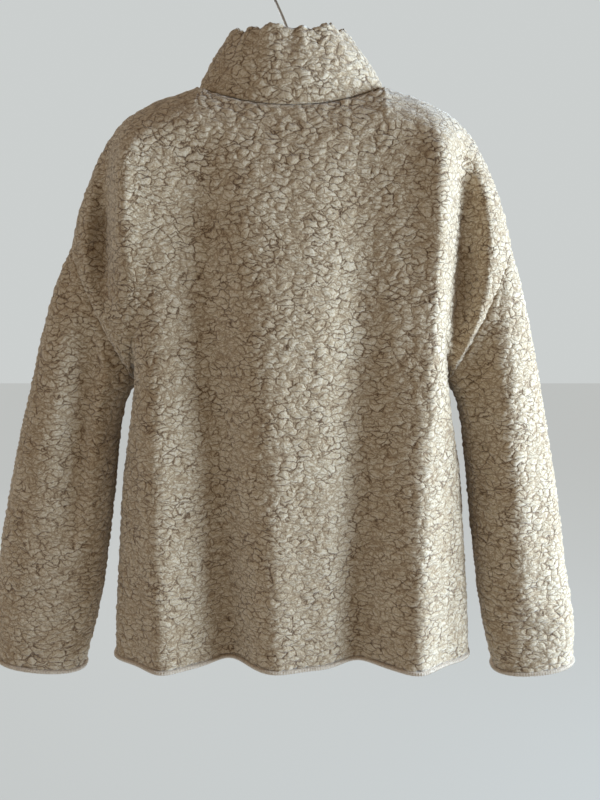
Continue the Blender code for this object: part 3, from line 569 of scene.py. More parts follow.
def collar_face(s, side, hand, share):
    """The collar's outer face at shares of its height, for columns round the neck."""
    base_x, base_y, base_z = top_edge(np.abs(s), 1.0)
    front_x, front_y, front_z = top_edge(np.abs(s), -1.0)
    behind = side > 0
    x = np.where(behind, base_x, front_x + zip_spread(s))
    y, z = np.where(behind, base_y, front_y), np.where(behind, base_z, front_z)
    base = np.stack((hand * x, y, z), axis=-1)
    turn = neck_turn(s)
    middle_z = np.where(behind, COLLAR_TOP_BACK_Z, COLLAR_TOP_FRONT_Z)
    top_z = COLLAR_TOP_SIDE_Z + (middle_z - COLLAR_TOP_SIDE_Z) * np.cos(turn) ** 2
    widened = np.where(behind, 0.0, zip_spread(s))
    top_x = hand * (COLLAR_TOP_HALF_WIDTH * np.sin(turn) + widened)
    top = np.stack((top_x, side * COLLAR_TOP_HALF_DEPTH * np.cos(turn), top_z), axis=-1)
    radial = np.stack((hand * np.sin(turn), side * np.cos(turn), 0 * turn), axis=-1)
    share = share[:, None, None]
    swell = radial * COLLAR_BULGE * np.sin(math.pi * share)
    return base + np.array([0.0, 0.0, COLLAR_LIFT]) + (top - base) * share + swell


def collar_columns(travelled):
    """Shares, sides and hands round the neck from the left front, behind, to the right front."""
    travel = 4 * travelled - 2
    hand = np.where(travel < 0, 1.0, -1.0)
    side = np.where(np.abs(travel) <= 1, 1.0, -1.0)
    s = NECK_SHARE * np.where(side > 0, np.abs(travel), 2 - np.abs(travel))
    return s, side, hand


def collar_line(travelled):
    """The collar's foot, at shares of the way round."""
    s, side, hand = collar_columns(travelled)
    return collar_face(s, side, hand, np.zeros(1))[0]


dressed = bpy.data.collections.new("dressed_jacket")
bpy.context.scene.collection.children.link(dressed)


def place_mesh(name, mesh, finish):
    made = bpy.data.objects.new(name, mesh)
    made.data.materials.clear()
    made.data.materials.append(finish)
    dressed.objects.link(made)
    return made


def finished(name, bm, finish, sharp=None):
    """Turns a bmesh into a piece with its material, its faces outwards."""
    bmesh.ops.recalc_face_normals(bm, faces=bm.faces[:])
    if bm.calc_volume(signed=True) < 0:
        bmesh.ops.reverse_faces(bm, faces=bm.faces[:])
    mesh = bpy.data.meshes.new(name)
    bm.to_mesh(mesh)
    bm.free()
    mesh.shade_smooth()
    if sharp:
        mesh.set_sharp_from_angle(angle=math.radians(sharp))
    return place_mesh(name, mesh, finish)


def join_inputs(tree, made, inputs):
    """Joins or sets a node's inputs by name or number."""
    for key, value in inputs.items():
        if isinstance(value, bpy.types.NodeSocket):
            tree.links.new(value, made.inputs[key])
        else:
            made.inputs[key].default_value = value


def node(tree, kind, inputs=None, **settings):
    """Adds a node with its settings and its inputs."""
    made = tree.nodes.new(kind)
    for key, value in settings.items():
        setattr(made, key, value)
    join_inputs(tree, made, inputs or {})
    return made


def maths(tree, operation, *values, clamp=False):
    inputs = dict(enumerate(values))
    return node(tree, "ShaderNodeMath", inputs, operation=operation, use_clamp=clamp).outputs[0]


def vector_maths(tree, operation, a, b):
    return node(tree, "ShaderNodeVectorMath", {0: a, 1: b}, operation=operation).outputs[0]


def noise_of(tree, place, scale, detail=2.0, roughness=0.5, output=0):
    inputs = {"Vector": place, "Scale": scale, "Detail": detail, "Roughness": roughness}
    return node(tree, "ShaderNodeTexNoise", inputs).outputs[output]


def warped(tree, place, scale, amount):
    """A place pushed aside by soft noise."""
    noise = noise_of(tree, place, scale, 1.0, output="Color")
    centred = vector_maths(tree, "SUBTRACT", noise, (0.5, 0.5, 0.5))
    shift = vector_maths(tree, "MULTIPLY", centred, (amount, amount, amount))
    return vector_maths(tree, "ADD", place, shift)


def crevices(tree, place, size, width):
    """Narrow gaps between cushions of curls: 1 in a gap, falling to 0 on a cushion."""
    inputs = {"Vector": place, "Scale": 1 / size, "Randomness": 1.0}
    cells = node(
        tree, "ShaderNodeTexVoronoi", inputs, feature="DISTANCE_TO_EDGE", voronoi_dimensions="3D"
    ).outputs["Distance"]
    near = maths(tree, "DIVIDE", cells, width, clamp=True)
    return maths(tree, "SUBTRACT", 1.0, maths(tree, "POWER", near, GAP_STEEPNESS))


def curl_place(tree, place):
    """The place in the pile's pattern: pushed about so that no gap runs straight."""
    for scale, amount in PILE_WARPS:
        place = warped(tree, place, scale, amount)
    return vector_maths(tree, "MULTIPLY", place, PILE_STRETCH)


def pile_height(tree, place):
    """How high the curled pile stands at a place of the cloth, from 0 to 1."""
    curled = curl_place(tree, place)
    patches = noise_of(tree, place, 52.0)
    strong = maths(tree, "MULTIPLY_ADD", patches, 2.8, -0.80, clamp=True)
    weak = maths(tree, "MULTIPLY_ADD", strong, -0.30, 0.54)
    deep = maths(tree, "MULTIPLY_ADD", strong, 0.50, 0.50)
    total = maths(tree, "MULTIPLY", crevices(tree, curled, *LARGE_GAP), deep)
    fine = maths(tree, "MULTIPLY", crevices(tree, curled, *SMALL_GAP), weak)
    total = maths(tree, "MAXIMUM", total, fine)
    return maths(tree, "SUBTRACT", 1.0, maths(tree, "MINIMUM", total, 1.0))


def cushion_height(tree, place):
    """The rounded tops of the larger cushions, smooth enough for the mesh to follow."""
    return maths(tree, "SUBTRACT", 1.0, crevices(tree, curl_place(tree, place), *CUSHION))


def relief_group():
    """Geometry nodes that raise the pile from the cloth along its own pattern."""
    tree = bpy.data.node_groups.new("raised_pile", "GeometryNodeTree")
    tree.interface.new_socket("Geometry", in_out="INPUT", socket_type="NodeSocketGeometry")
    tree.interface.new_socket("Geometry", in_out="OUTPUT", socket_type="NodeSocketGeometry")
    entry, leave = tree.nodes.new("NodeGroupInput"), tree.nodes.new("NodeGroupOutput")
    read = "GeometryNodeInputNamedAttribute"
    place = node(tree, read, {"Name": "cloth"}, data_type="FLOAT_VECTOR").outputs[0]
    raised = node(tree, read, {"Name": "raised"}, data_type="FLOAT").outputs[0]
    height = cushion_height(tree, place)
    tall = noise_of(tree, place, 60.0, 1.0)
    rise = maths(tree, "MULTIPLY", height, maths(tree, "MULTIPLY_ADD", tall, 0.9, 0.55))
    amount = maths(tree, "MULTIPLY", maths(tree, "MULTIPLY", rise, raised), PILE_RISE)
    normal = node(tree, "GeometryNodeInputNormal").outputs[0]
    offset = node(
        tree, "ShaderNodeVectorMath", {0: normal, "Scale": amount}, operation="SCALE"
    ).outputs[0]
    moved = node(
        tree, "GeometryNodeSetPosition", {"Geometry": entry.outputs[0], "Offset": offset}
    )
    tree.links.new(moved.outputs[0], leave.inputs[0])
    return tree


def raise_pile(piece):
    """Applies the raised pile to a piece's own mesh."""
    modifier = piece.modifiers.new("pile", "NODES")
    modifier.node_group = raised_pile
    seen = piece.evaluated_get(bpy.context.evaluated_depsgraph_get())
    mesh = bpy.data.meshes.new_from_object(seen)
    piece.modifiers.clear()
    old = piece.data
    piece.data = mesh
    bpy.data.meshes.remove(old)
    mesh.name = piece.name
    mesh.shade_smooth()
    return piece


def cloth_piece(name, outer, hidden, shift, raised, finish):
    """A thin wall of cloth: a fine outer face, a coarser hidden face and its rims, closed."""
    rows, columns = outer.shape[:2]
    row_pick = np.linspace(0, rows - 1, rows // INNER_EVERY).round().astype(int)
    column_pick = np.linspace(0, columns - 1, columns // INNER_EVERY).round().astype(int)
    inner = hidden[np.ix_(row_pick, column_pick)]
    bm = bmesh.new()
    bmesh.ops.create_grid(bm, x_segments=columns - 1, y_segments=rows - 1, size=0.5)
    counts = {"x_segments": len(column_pick) - 1, "y_segments": len(row_pick) - 1}
    under = Matrix.Translation((0, 0, -GRID_DROP))
    bmesh.ops.create_grid(bm, size=0.5, matrix=under, **counts)
    bmesh.ops.bridge_loops(bm, edges=[edge for edge in bm.edges if edge.is_boundary])
    bmesh.ops.recalc_face_normals(bm, faces=bm.faces[:])
    mesh = bpy.data.meshes.new(name)
    bm.to_mesh(mesh)
    bm.free()
    flat = np.empty(len(mesh.vertices) * 3)
    mesh.vertices.foreach_get("co", flat)
    flat = flat.reshape(-1, 3)
    on_face = flat[:, 2] > -GRID_DROP / 2
    count = np.where(on_face, columns, len(column_pick))
    column = ((flat[:, 0] + 0.5) * (count - 1)).round().astype(int)
    count = np.where(on_face, rows, len(row_pick))
    row = ((flat[:, 1] + 0.5) * (count - 1)).round().astype(int)
    placed = np.zeros_like(flat)
    placed[on_face] = outer[row[on_face], column[on_face]]
    placed[~on_face] = inner[row[~on_face], column[~on_face]]
    mesh.vertices.foreach_set("co", placed.ravel())
    fine_row = np.where(on_face, row, row_pick[np.minimum(row, len(row_pick) - 1)])
    fine_column = np.where(on_face, column, column_pick[np.minimum(column, len(column_pick) - 1)])
    pattern = outer[fine_row, fine_column] + np.array(shift)
    lifted = np.where(on_face, raised[fine_row, fine_column], 0.0)
    for label, kind, key, values in (
        ("cloth", "FLOAT_VECTOR", "vector", pattern.ravel()),
        ("raised", "FLOAT", "value", lifted),
        ("shown", "FLOAT", "value", on_face.astype(float)),
    ):
        mesh.attributes.new(label, kind, "POINT").data.foreach_set(key, values)
    if signed_volume(mesh) < 0:
        mesh.flip_normals()
    return raise_pile(place_mesh(name, mesh, finish))


def signed_volume(mesh):
    bm = bmesh.new()
    bm.from_mesh(mesh)
    volume = bm.calc_volume(signed=True)
    bm.free()
    return volume


def dress_panel(name, panel, finish):
    """Makes a panel's piece from its points, outward directions and seam presses."""
    points, out, press = panel
    outer = points - out * (PILE_SUNK + press)[..., None]
    hidden = points - out * WALL
    raised = 1 - SEAM_FLATNESS * press / SEAM_PRESS
    return cloth_piece(name, outer, hidden, (0.0, 0.0, 0.0), raised, finish)


def join_halves(left, right):
    """Joins the left and right half of a panel at its middle column."""
    return [np.concatenate((b[:, :0:-1], a), axis=1) for a, b in zip(left, right)]


def top_roll(middle, out, up, radius, steps):
    """Rows that turn over a folded edge, from the outer layer to the inner one."""
    turn = np.linspace(0, math.pi, steps + 2)[1:-1, None, None]
    return middle + radius * (out * np.cos(turn) + up * np.sin(turn))


def folded_collar(finish):
    """The stand collar: one piled strip folded along its top edge, its pile outside and in."""
    travelled = even_shares(collar_line, COLLAR_COLUMNS)
    s, side, hand = collar_columns(travelled)
    share = np.linspace(0, 1, COLLAR_ROWS)
    face = collar_face(s, side, hand, share)
    out = wall_directions(face)
    along = arc_lengths(face, 0)
    around = travelled[None] * 2 * math.pi
    lumps = sum(depth * np.sin(around * turns + phase) for turns, phase, depth in COLLAR_LUMPS)
    fade = (share**2)[:, None] * np.sin(math.pi * travelled[None]) ** 0.3
    face = face + out * (lumps * fade)[..., None]
    face[..., 2] += lumps * fade * COLLAR_LUMP_LIFT
    seam_out = neck_direction(s, side, hand)
    out = blend_directions(out, seam_out[None], 1 - smoothstep(along / NECK_TURN_REACH))
    for column in (0, -1):
        out[:, column] = unit(out[:, column] * np.array([0.0, 1.0, 1.0]))
    across = arc_lengths(face, 1)
    to_end = np.minimum(across, across[:, -1:] - across)
    thick = (WALL + (COLLAR_WALL - WALL) * np.clip(share * COLLAR_STEPS, 0, 1))[:, None, None]
    seam = np.minimum(along, to_end)
    pressed = seam_fall(seam)[..., None]
    low = np.minimum(PILE_SUNK + SEAM_PRESS * pressed, thick / 2 - LAYER_HALF)
    middle = face - out * thick / 2
    up = unit(face[-1] - face[-2])
    middle_top = middle[-1] - up * ROLL_DROP
    roll = top_roll(middle_top, out[-1], up, COLLAR_WALL / 2 - PILE_SUNK, ROLL_STEPS)
    core = top_roll(middle_top, out[-1], up, FOLD_HALF, ROLL_STEPS)
    outer = np.concatenate((face - out * low, roll, (face - out * (thick - low))[::-1]))
    hidden = np.concatenate(
        (middle + out * FOLD_HALF, core, (middle - out * FOLD_HALF)[::-1])
    )
    flat_seam = np.concatenate((seam, np.repeat(seam[-1:], ROLL_STEPS, axis=0), seam[::-1]))
    raised = 1 - SEAM_FLATNESS * seam_fall(flat_seam)
    return cloth_piece("collar_pile", outer, hidden, COLLAR_SHIFT, raised, finish)


def swept(name, rings, finish, closed_run, sharp=None):
    """A closed profile carried along a run of places; rings holds a row for each place."""
    rings = np.concatenate((rings, rings[:, :1]), axis=1)
    if closed_run:
        rings = np.concatenate((rings, rings[:1]), axis=0)
    rows, columns = rings.shape[:2]
    bm = bmesh.new()
    bmesh.ops.create_grid(bm, x_segments=columns - 1, y_segments=rows - 1, size=0.5)
    for vert in bm.verts:
        column = round((vert.co.x + 0.5) * (columns - 1))
        row = round((vert.co.y + 0.5) * (rows - 1))
        vert.co = Vector(rings[row, column])
    bmesh.ops.remove_doubles(bm, verts=bm.verts[:], dist=1e-6)
    if not closed_run:
        bmesh.ops.holes_fill(bm, edges=[edge for edge in bm.edges if edge.is_boundary], sides=0)
    return finished(name, bm, finish, sharp)


def edge_profile(turn, lumps):
    """A rounded section of the overlocked edge: share outwards and share downwards."""
    out, down = (np.sign(a) * np.abs(a) ** STRIP_SQUARENESS for a in (np.cos(turn), np.sin(turn)))
    return out * (1 + lumps), down * (1 + lumps)


def bound_strip(name, edge, out, down, finish, closed):
    """The overlocked edge along a hem or cuff, wrapped round the cloth's end."""
    turn = np.linspace(0, 2 * math.pi, STRIP_CORNERS, endpoint=False)
    half_thick = (WALL + BINDING_PROUD) / 2
    middle = edge - out * (half_thick - BINDING_PROUD) + down * (SEAM_GAP + BINDING_DEPTH / 2)
    travelled = arc_lengths(edge, 0)[:, None]
    fast, slow = STRIP_LUMP_TURNS
    lumps = STRIP_LUMP * np.sin(travelled * fast + np.sin(travelled * slow) * 3 + turn * 2)
    outwards, downwards = edge_profile(turn[None], lumps)
    thick_share, deep_share = STRIP_INSET
    rings = middle[:, None] + out[:, None] * (outwards * half_thick * thick_share)[..., None]
    rings = rings + down * (downwards * BINDING_DEPTH / 2 * deep_share)[..., None]
    return swept(name, rings, finish, closed)


def turned_at(place, x_axis, y_axis, z_axis):
    """The matrix that carries a small shape to a place, turned to the three axes."""
    turned = Matrix((x_axis, y_axis, z_axis)).transposed().to_4x4()
    return Matrix.Translation(place) @ turned


def stitch_run(name, edge, out, down, finish):
    """Loops of thread over the overlocked edge, each a bent length of round thread."""
    travelled = arc_lengths(edge, 0)
    count = int(travelled[-1] / STITCH_PITCH)
    marks = (np.arange(count) + 0.5) * travelled[-1] / count
    at, out_at = read_line(edge, travelled, marks), unit(read_line(out, travelled, marks))
    half_thick = (WALL + BINDING_PROUD) / 2
    bend = [(math.cos(a), math.sin(a)) for a in np.radians(np.linspace(-52, 232, 8))]
    small = thread_loop(bend, half_thick, BINDING_DEPTH / 2)
    places = []
    for place, outward in zip(at, out_at):
        centre = place - outward * (half_thick - BINDING_PROUD)
        centre = centre + down * (SEAM_GAP + BINDING_DEPTH / 2)
        places.append(turned_at(centre, np.cross(down, outward), outward, down))
    return copies(name, small, places, finish)


def thread_loop(bend, half_thick, half_depth):
    """One stitch: local y is outwards from the cloth and z down past its edge."""
    points = []
    raised = THREAD_RADIUS * 0.35
    for index, (across, down) in enumerate(bend):
        lean = THREAD_LEAN * (index / (len(bend) - 1) - 0.5)
        y = math.copysign(abs(across) ** STRIP_SQUARENESS, across) * (half_thick + raised)
        z = math.copysign(abs(down) ** STRIP_SQUARENESS, down) * (half_depth + raised)
        points.append((lean, y, z))
    return tube_mesh(points, THREAD_RADIUS, 0)


def tube_mesh(points, radius, fineness, smooth_ends=False):
    """A round bar along a run of points, as a welded bmesh."""
    curve = bpy.data.curves.new("tube", "CURVE")
    curve.dimensions = "3D"
    curve.bevel_depth = radius
    curve.bevel_resolution = fineness
    curve.use_fill_caps = True
    spline = curve.splines.new("POLY")
    spline.points.add(len(points) - 1)
    for index, (point, place) in enumerate(zip(spline.points, points)):
        point.co = (*place, 1.0)
        if smooth_ends:
            left = min(index, len(points) - 1 - index)
            point.radius = min(1.0, 0.45 + 0.3 * left)
    drawn = bpy.data.objects.new("tube", curve)
    dressed.objects.link(drawn)
    seen = drawn.evaluated_get(bpy.context.evaluated_depsgraph_get())
    bm = bmesh.new()
    bm.from_mesh(bpy.data.meshes.new_from_object(seen))
    bmesh.ops.remove_doubles(bm, verts=bm.verts[:], dist=1e-7)
    bpy.data.objects.remove(drawn)
    return bm


def copies(name, shape, places, finish, sharp=None):
    """Joins one small shape, repeated at each place, into one piece."""
    bmesh.ops.recalc_face_normals(shape, faces=shape.faces[:])
    small = bpy.data.meshes.new(name + "_one")
    shape.to_mesh(small)
    shape.free()
    bm = bmesh.new()
    for place in places:
        start = len(bm.verts)
        bm.from_mesh(small)
        bm.verts.ensure_lookup_table()
        bmesh.ops.transform(bm, matrix=place, verts=bm.verts[start:])
    bpy.data.meshes.remove(small)
    return finished(name, bm, finish, sharp)


def round_edges(bm, edges, offset, segments):
    """Rounds edges off by a small bevel."""
    bmesh.ops.bevel(
        bm, geom=edges, offset=offset, segments=segments, profile=0.5, affect="EDGES", material=-1
    )


def front_line(count):
    """The outer face of the front's middle from the collar's top to the hem, evenly spaced."""
    collar_share = np.linspace(1, 0, 40)
    nought = np.zeros(1)
    collar = collar_face(nought, -np.ones(1), np.ones(1), collar_share)[:, 0]
    body = panel_points(nought, np.linspace(0, 1, 200), -1.0, 1.0)[:, 0]
    line = np.concatenate((collar[:-1], body))
    line[:, 0] = 0.0
    travelled = arc_lengths(line, 0)
    return read_line(line, travelled, np.linspace(0, travelled[-1], count))


def front_outwards(line):
    run = unit(np.gradient(line, axis=0))
    out = np.cross(run, np.array([1.0, 0.0, 0.0]))
    return unit(out * np.sign(-out[:, 1:2])), run


def zip_tape(name, hand, finish):
    """A woven tape beside the zip's teeth, its inner edge corded."""
    line = front_line(TAPE_ROWS)
    out, _ = front_outwards(line)
    near, far = CHAIN_HALF_WIDTH + SEAM_GAP, ZIP_OPENING - SEAM_GAP
    half = TAPE_THICK / 2
    across = [near + step for step in TAPE_CORD_STEPS] + [far - TAPE_SELVEDGE, far]
    upper = [(x, half * share) for x, share in zip(across, TAPE_SHARES)]
    section = upper + [(x, -lift) for x, lift in reversed(upper)]
    middle = line - out * (CHAIN_THICK / 2 + half)
    rings = np.zeros((TAPE_ROWS, len(section), 3))
    for column, (x, lift) in enumerate(section):
        rings[:, column] = middle + out * lift
        rings[:, column, 0] = hand * x
    return swept(name, rings, finish, False)


def zip_teeth(finish):
    """Metal teeth from both tapes, clasped in turn."""
    bm = bmesh.new()
    bmesh.ops.create_cube(bm, size=1.0)
    bmesh.ops.scale(bm, vec=TOOTH_SIZE, verts=bm.verts[:])
    round_edges(bm, bm.edges[:], TOOTH_BEVEL, 1)
    bmesh.ops.translate(bm, verts=bm.verts[:], vec=(TOOTH_OFFSET, 0.0, 0.0))
    line = front_line(2400)
    travelled = arc_lengths(line, 0)
    out, run = front_outwards(line)
    places = []
    for hand in (1.0, -1.0):
        start = ZIP_END + (TOOTH_PITCH / 2 if hand < 0 else 0.0)
        for mark in np.arange(start, travelled[-1] - ZIP_END, TOOTH_PITCH):
            at = int(np.searchsorted(travelled, mark))
            centre = line[at] - out[at] * CHAIN_THICK / 2
            across = np.array([hand, 0.0, 0.0])
            places.append(turned_at(centre, across, out[at], np.cross(across, out[at])))
    return copies("zip_teeth", bm, places, finish, 30)


def zip_matrix():
    """Local x across the zip, y away from the cloth, z up along the chain."""
    share = np.linspace(1, 0, COLLAR_STEPS + 1)
    line = collar_face(np.zeros(1), -np.ones(1), np.ones(1), share)[:, 0, 1:]
    place = smooth_line(line, SLIDER_DOWN)[0]
    run = unit(line[-1] - line[0])
    up = Vector((0.0, -run[0], -run[1]))
    away = Vector((0.0, -up.z, up.y))
    return turned_at((0.0, *place), away.cross(up), away, up)


def slider_body(finish):
    """The slider: a pinched plate with rolled sides and two ears for the pull."""
    bm = bmesh.new()
    low, plate = SEAM_GAP, SEAM_GAP + SLIDER_PLATE
    size = Matrix.Diagonal((2 * SLIDER_HALF_WIDTH, SLIDER_PLATE, SLIDER_LENGTH, 1.0))
    middle = Matrix.Translation((0, (low + plate) / 2, 0))
    bmesh.ops.create_cube(bm, size=1.0, matrix=middle @ size)
    across = [edge for edge in bm.edges if abs(edge.verts[0].co.z - edge.verts[1].co.z) > 0.001]
    bmesh.ops.subdivide_edges(bm, edges=across, cuts=7, use_grid_fill=True)
    for vert in bm.verts:
        share = vert.co.z / (SLIDER_LENGTH / 2)
        vert.co.x *= 1.0 - 0.22 * share * share if share < 0 else 1.0 - 0.06 * share * share
    corners = [edge for edge in bm.edges if edge.calc_face_angle(0.0) > 0.6]
    round_edges(bm, corners, SLIDER_BEVEL, 3)
    radius = SLIDER_LENGTH * FLANGE_ROUND
    for hand in (1.0, -1.0):
        at = Matrix.Translation((hand * (SLIDER_HALF_WIDTH - FLANGE_THICK / 2), plate, 0))
        ear = bmesh.ops.create_cone(
            bm,
            cap_ends=True,
            segments=28,
            radius1=radius,
            radius2=radius,
            depth=FLANGE_THICK,
            matrix=at @ Matrix.Rotation(math.radians(90), 4, "Y"),
        )
        for vert in ear["verts"]:
            if vert.co.y < plate:
                vert.co.y = plate - SLIDER_PLATE * 0.4
            else:
                vert.co.y = plate + (vert.co.y - plate) * FLANGE_HEIGHT / radius
    bmesh.ops.transform(bm, matrix=zip_matrix(), verts=bm.verts[:])
    return finished("slider_body", bm, finish, 35)


def pull_tab(finish):
    """The pull: a tapered tab with a slot, its top edge between the slider's ears."""
    swing = PULL_THICK / 2 * math.sqrt(2)
    pivot_y = SEAM_GAP + SLIDER_PLATE + swing + PULL_CLEAR
    turn = np.linspace(0, 2 * math.pi, 40, endpoint=False)
    length = PULL_LENGTH
    bm = bmesh.new()
    loops = []
    for half_width, half_length, middle in (
        (PULL_HALF_WIDTH, length / 2, 0.0),
        (PULL_HALF_WIDTH * 0.45, length * 0.17, -length * 0.24),
    ):
        verts = []
        for a in turn:
            c, sn = math.cos(a), math.sin(a)
            x = half_width * math.copysign(abs(c) ** 0.45, c)
            z = middle + half_length * math.copysign(abs(sn) ** 0.45, sn)
            verts.append(bm.verts.new((x, -PULL_THICK / 2, z)))
        loops += [bm.edges.new((verts[i], verts[i - 1])) for i in range(len(verts))]
    bmesh.ops.bridge_loops(bm, edges=loops)
    bmesh.ops.recalc_face_normals(bm, faces=bm.faces[:])
    made = bmesh.ops.extrude_face_region(bm, geom=bm.faces[:], use_keep_orig=True)
    raised = [item for item in made["geom"] if isinstance(item, bmesh.types.BMVert)]
    bmesh.ops.translate(bm, verts=raised, vec=(0.0, PULL_THICK, 0.0))
    for vert in bm.verts:
        share = vert.co.z / length + 0.5
        vert.co.x *= 1.0 - 0.12 * share
    bmesh.ops.recalc_face_normals(bm, faces=bm.faces[:])
    rims = [edge for edge in bm.edges if edge.calc_face_angle(0.0) > 1.2]
    round_edges(bm, rims, PULL_BEVEL, 2)
    lowered = Matrix.Translation((0.0, pivot_y, PULL_PIVOT_UP - length / 2 + PULL_THICK / 2))
    bmesh.ops.transform(bm, matrix=zip_matrix() @ lowered, verts=bm.verts[:])
    return finished("pull_tab", bm, finish, 35)


def hook_bar(finish):
    """The polished wire hook with its rounded tip."""
    radius = HOOK_INNER_RADIUS + WIRE_RADIUS
    turn = np.radians(np.linspace(HOOK_START_ANGLE, HOOK_END_ANGLE, 90))
    bend = [(radius * math.cos(a), -HOOK_INNER_RADIUS + radius * math.sin(a)) for a in turn]
    foot = CROWN_Z + ARM_RADIUS + SEAM_GAP
    stem = smooth_line(((0.0, foot), *HOOK_STEM, bend[0]), np.linspace(0.0, 1.0, 40))
    route = [(x, 0.0, z) for x, z in stem[:-1]] + [(x, 0.0, z) for x, z in bend]
    bm = tube_mesh(route, WIRE_RADIUS, 6, smooth_ends=True)
    return finished("hook_bar", bm, finish)


# Materials
def new_finish(name):
    made = bpy.data.materials.new(name)
    made.use_nodes = True
    tree = made.node_tree
    return made, tree, tree.nodes["Principled BSDF"]


def colour_ramp(tree, factor, stops):
    ramp = node(tree, "ShaderNodeValToRGB", {0: factor})
    first, last = ramp.color_ramp.elements
    first.position, first.color = stops[0][0], (*stops[0][1], 1)
    last.position, last.color = stops[-1][0], (*stops[-1][1], 1)
    for position, colour in stops[1:-1]:
        ramp.color_ramp.elements.new(position).color = (*colour, 1)
    return ramp.outputs[0]


def mixed(tree, factor, a, b, mode="MIX"):
    a, b = (c if isinstance(c, bpy.types.NodeSocket) else (*c, 1) for c in (a, b))
    inputs = {0: factor, 6: a, 7: b}
    return node(tree, "ShaderNodeMix", inputs, data_type="RGBA", blend_type=mode).outputs[2]


def waves(tree, place, scale, distortion, direction, detail=2.0):
    """Ribs side by side along a direction."""
    inputs = {"Vector": place, "Scale": scale, "Distortion": distortion, "Detail": detail}
    return node(tree, "ShaderNodeTexWave", inputs, bands_direction=direction).outputs[1]


def bumped(tree, strength, distance, height, **more):
    inputs = {"Strength": strength, "Distance": distance, "Height": height, **more}
    return node(tree, "ShaderNodeBump", inputs).outputs[0]


def knitted_ground(tree, place):
    """Colour and height of the fine knit on the cloth's hidden side."""
    ribs = waves(tree, place, 210.0, 1.2, "X", 1.0)
    loops = maths(tree, "MULTIPLY", ribs, waves(tree, place, 280.0, 1.2, "Z", 1.0))
    stops = ((0.0, (0.300, 0.215, 0.140)), (0.65, (0.520, 0.410, 0.295)))
    return colour_ramp(tree, loops, stops), loops


def teddy_pile():
    """Cream curled pile: pale fluffy tips, brown painted shade in the crevices and a fine frizz.
    """
    made, tree, shader = new_finish("teddy_pile")
    place = node(tree, "ShaderNodeAttribute", attribute_name="cloth").outputs["Vector"]
    shown = node(tree, "ShaderNodeAttribute", attribute_name="shown").outputs["Fac"]
    height = pile_height(tree, place)
    frizz = noise_of(tree, warped(tree, place, 400.0, 0.0030), 430.0, 3.0, 0.75)
    fluffed = maths(tree, "MULTIPLY_ADD", frizz, 1.5, -0.80)
    crevice_shade_and_frizz = maths(tree, "ADD", height, fluffed, clamp=True)
    # The ramp runs from the gaps to the tips: its dark brown low stops are painted shade in the
    # crevices, its top stop the cream of the curls.
    stops = (
        (0.00, (0.112, 0.064, 0.036)),
        (0.30, (0.290, 0.200, 0.122)),
        (0.70, (0.500, 0.385, 0.256)),
        (1.00, (0.665, 0.570, 0.440)),
    )
    patches = noise_of(tree, place, 24.0, 3.0)
    tint = colour_ramp(tree, patches, ((0.32, (0.86, 0.82, 0.77)), (0.68, (1.0, 1.0, 1.0))))
    colour = mixed(tree, 1.0, colour_ramp(tree, crevice_shade_and_frizz, stops), tint, "MULTIPLY")
    ground, loops = knitted_ground(tree, place)
    cushions = maths(tree, "MULTIPLY", height, shown)
    relief = maths(tree, "ADD", cushions, maths(tree, "MULTIPLY", loops, 0.1))
    large = bumped(tree, 0.9, 0.0008, relief)
    settings = {
        "Base Color": mixed(tree, shown, ground, colour),
        "Normal": bumped(tree, 1.0, 0.0007, frizz, Normal=large),
        "Roughness": 1.0,
        "Specular IOR Level": 0.04,
        "Sheen Weight": 0.55,
        "Sheen Roughness": 0.5,
        "Sheen Tint": (0.97, 0.96, 0.93, 1.0),
    }
    join_inputs(tree, shader, settings)
    return made


def yarn_finish(name, pattern_of, stops, bump, settings):
    """A finish whose colour and bump both follow one pattern of yarns."""
    made, tree, shader = new_finish(name)
    pattern = pattern_of(tree, node(tree, "ShaderNodeTexCoord").outputs["Object"])
    colour = colour_ramp(tree, pattern, stops)
    settings = {"Base Color": colour, "Normal": bumped(tree, *bump, pattern), **settings}
    join_inputs(tree, shader, settings)
    return made


def fluffy_edge(tree, place):
    return noise_of(tree, place, 420.0, 3.0, 0.6)


def twisted_yarn(tree, place):
    return waves(tree, place, 900.0, 1.5, "DIAGONAL")


def herringbone(tree, place):
    ribs = waves(tree, place, 330.0, 0.4, "X")
    return maths(tree, "MULTIPLY", ribs, waves(tree, place, 420.0, 0.3, "Z"))


def satin_metal(name, pale, dark, rough):
    """Plated metal with fine brush marks and dull places where it rubs."""
    made, tree, shader = new_finish(name)
    place = node(tree, "ShaderNodeTexCoord").outputs["Object"]
    streaks = node(tree, "ShaderNodeMapping", {"Vector": place, "Scale": (1.0, 1.0, 0.08)})
    brushed = noise_of(tree, streaks.outputs[0], 2600.0, 3.0, 0.6)
    worn = noise_of(tree, place, 130.0, 3.0, 0.6)
    settings = {
        "Base Color": colour_ramp(tree, worn, ((0.3, dark), (0.65, pale))),
        "Metallic": 1.0,
        "Roughness": maths(tree, "MULTIPLY_ADD", brushed, 0.18, rough),
        "Normal": bumped(tree, 0.15, 0.0001, brushed),
    }
    join_inputs(tree, shader, settings)
    return made


def moulded_plastic():
    """White moulded plastic, slightly mottled and scuffed."""
    made, tree, shader = new_finish("moulded_plastic")
    place = node(tree, "ShaderNodeTexCoord").outputs["Object"]
    scuffs = noise_of(tree, place, 160.0, 4.0, 0.6)
    stops = ((0.3, (0.68, 0.67, 0.64)), (0.6, (0.80, 0.79, 0.77)))
    settings = {
        "Base Color": colour_ramp(tree, scuffs, stops),
        "Roughness": maths(tree, "MULTIPLY_ADD", scuffs, 0.25, 0.28),
        "Normal": bumped(tree, 0.12, 0.0002, noise_of(tree, place, 1800.0)),
    }
    join_inputs(tree, shader, settings)
    return made


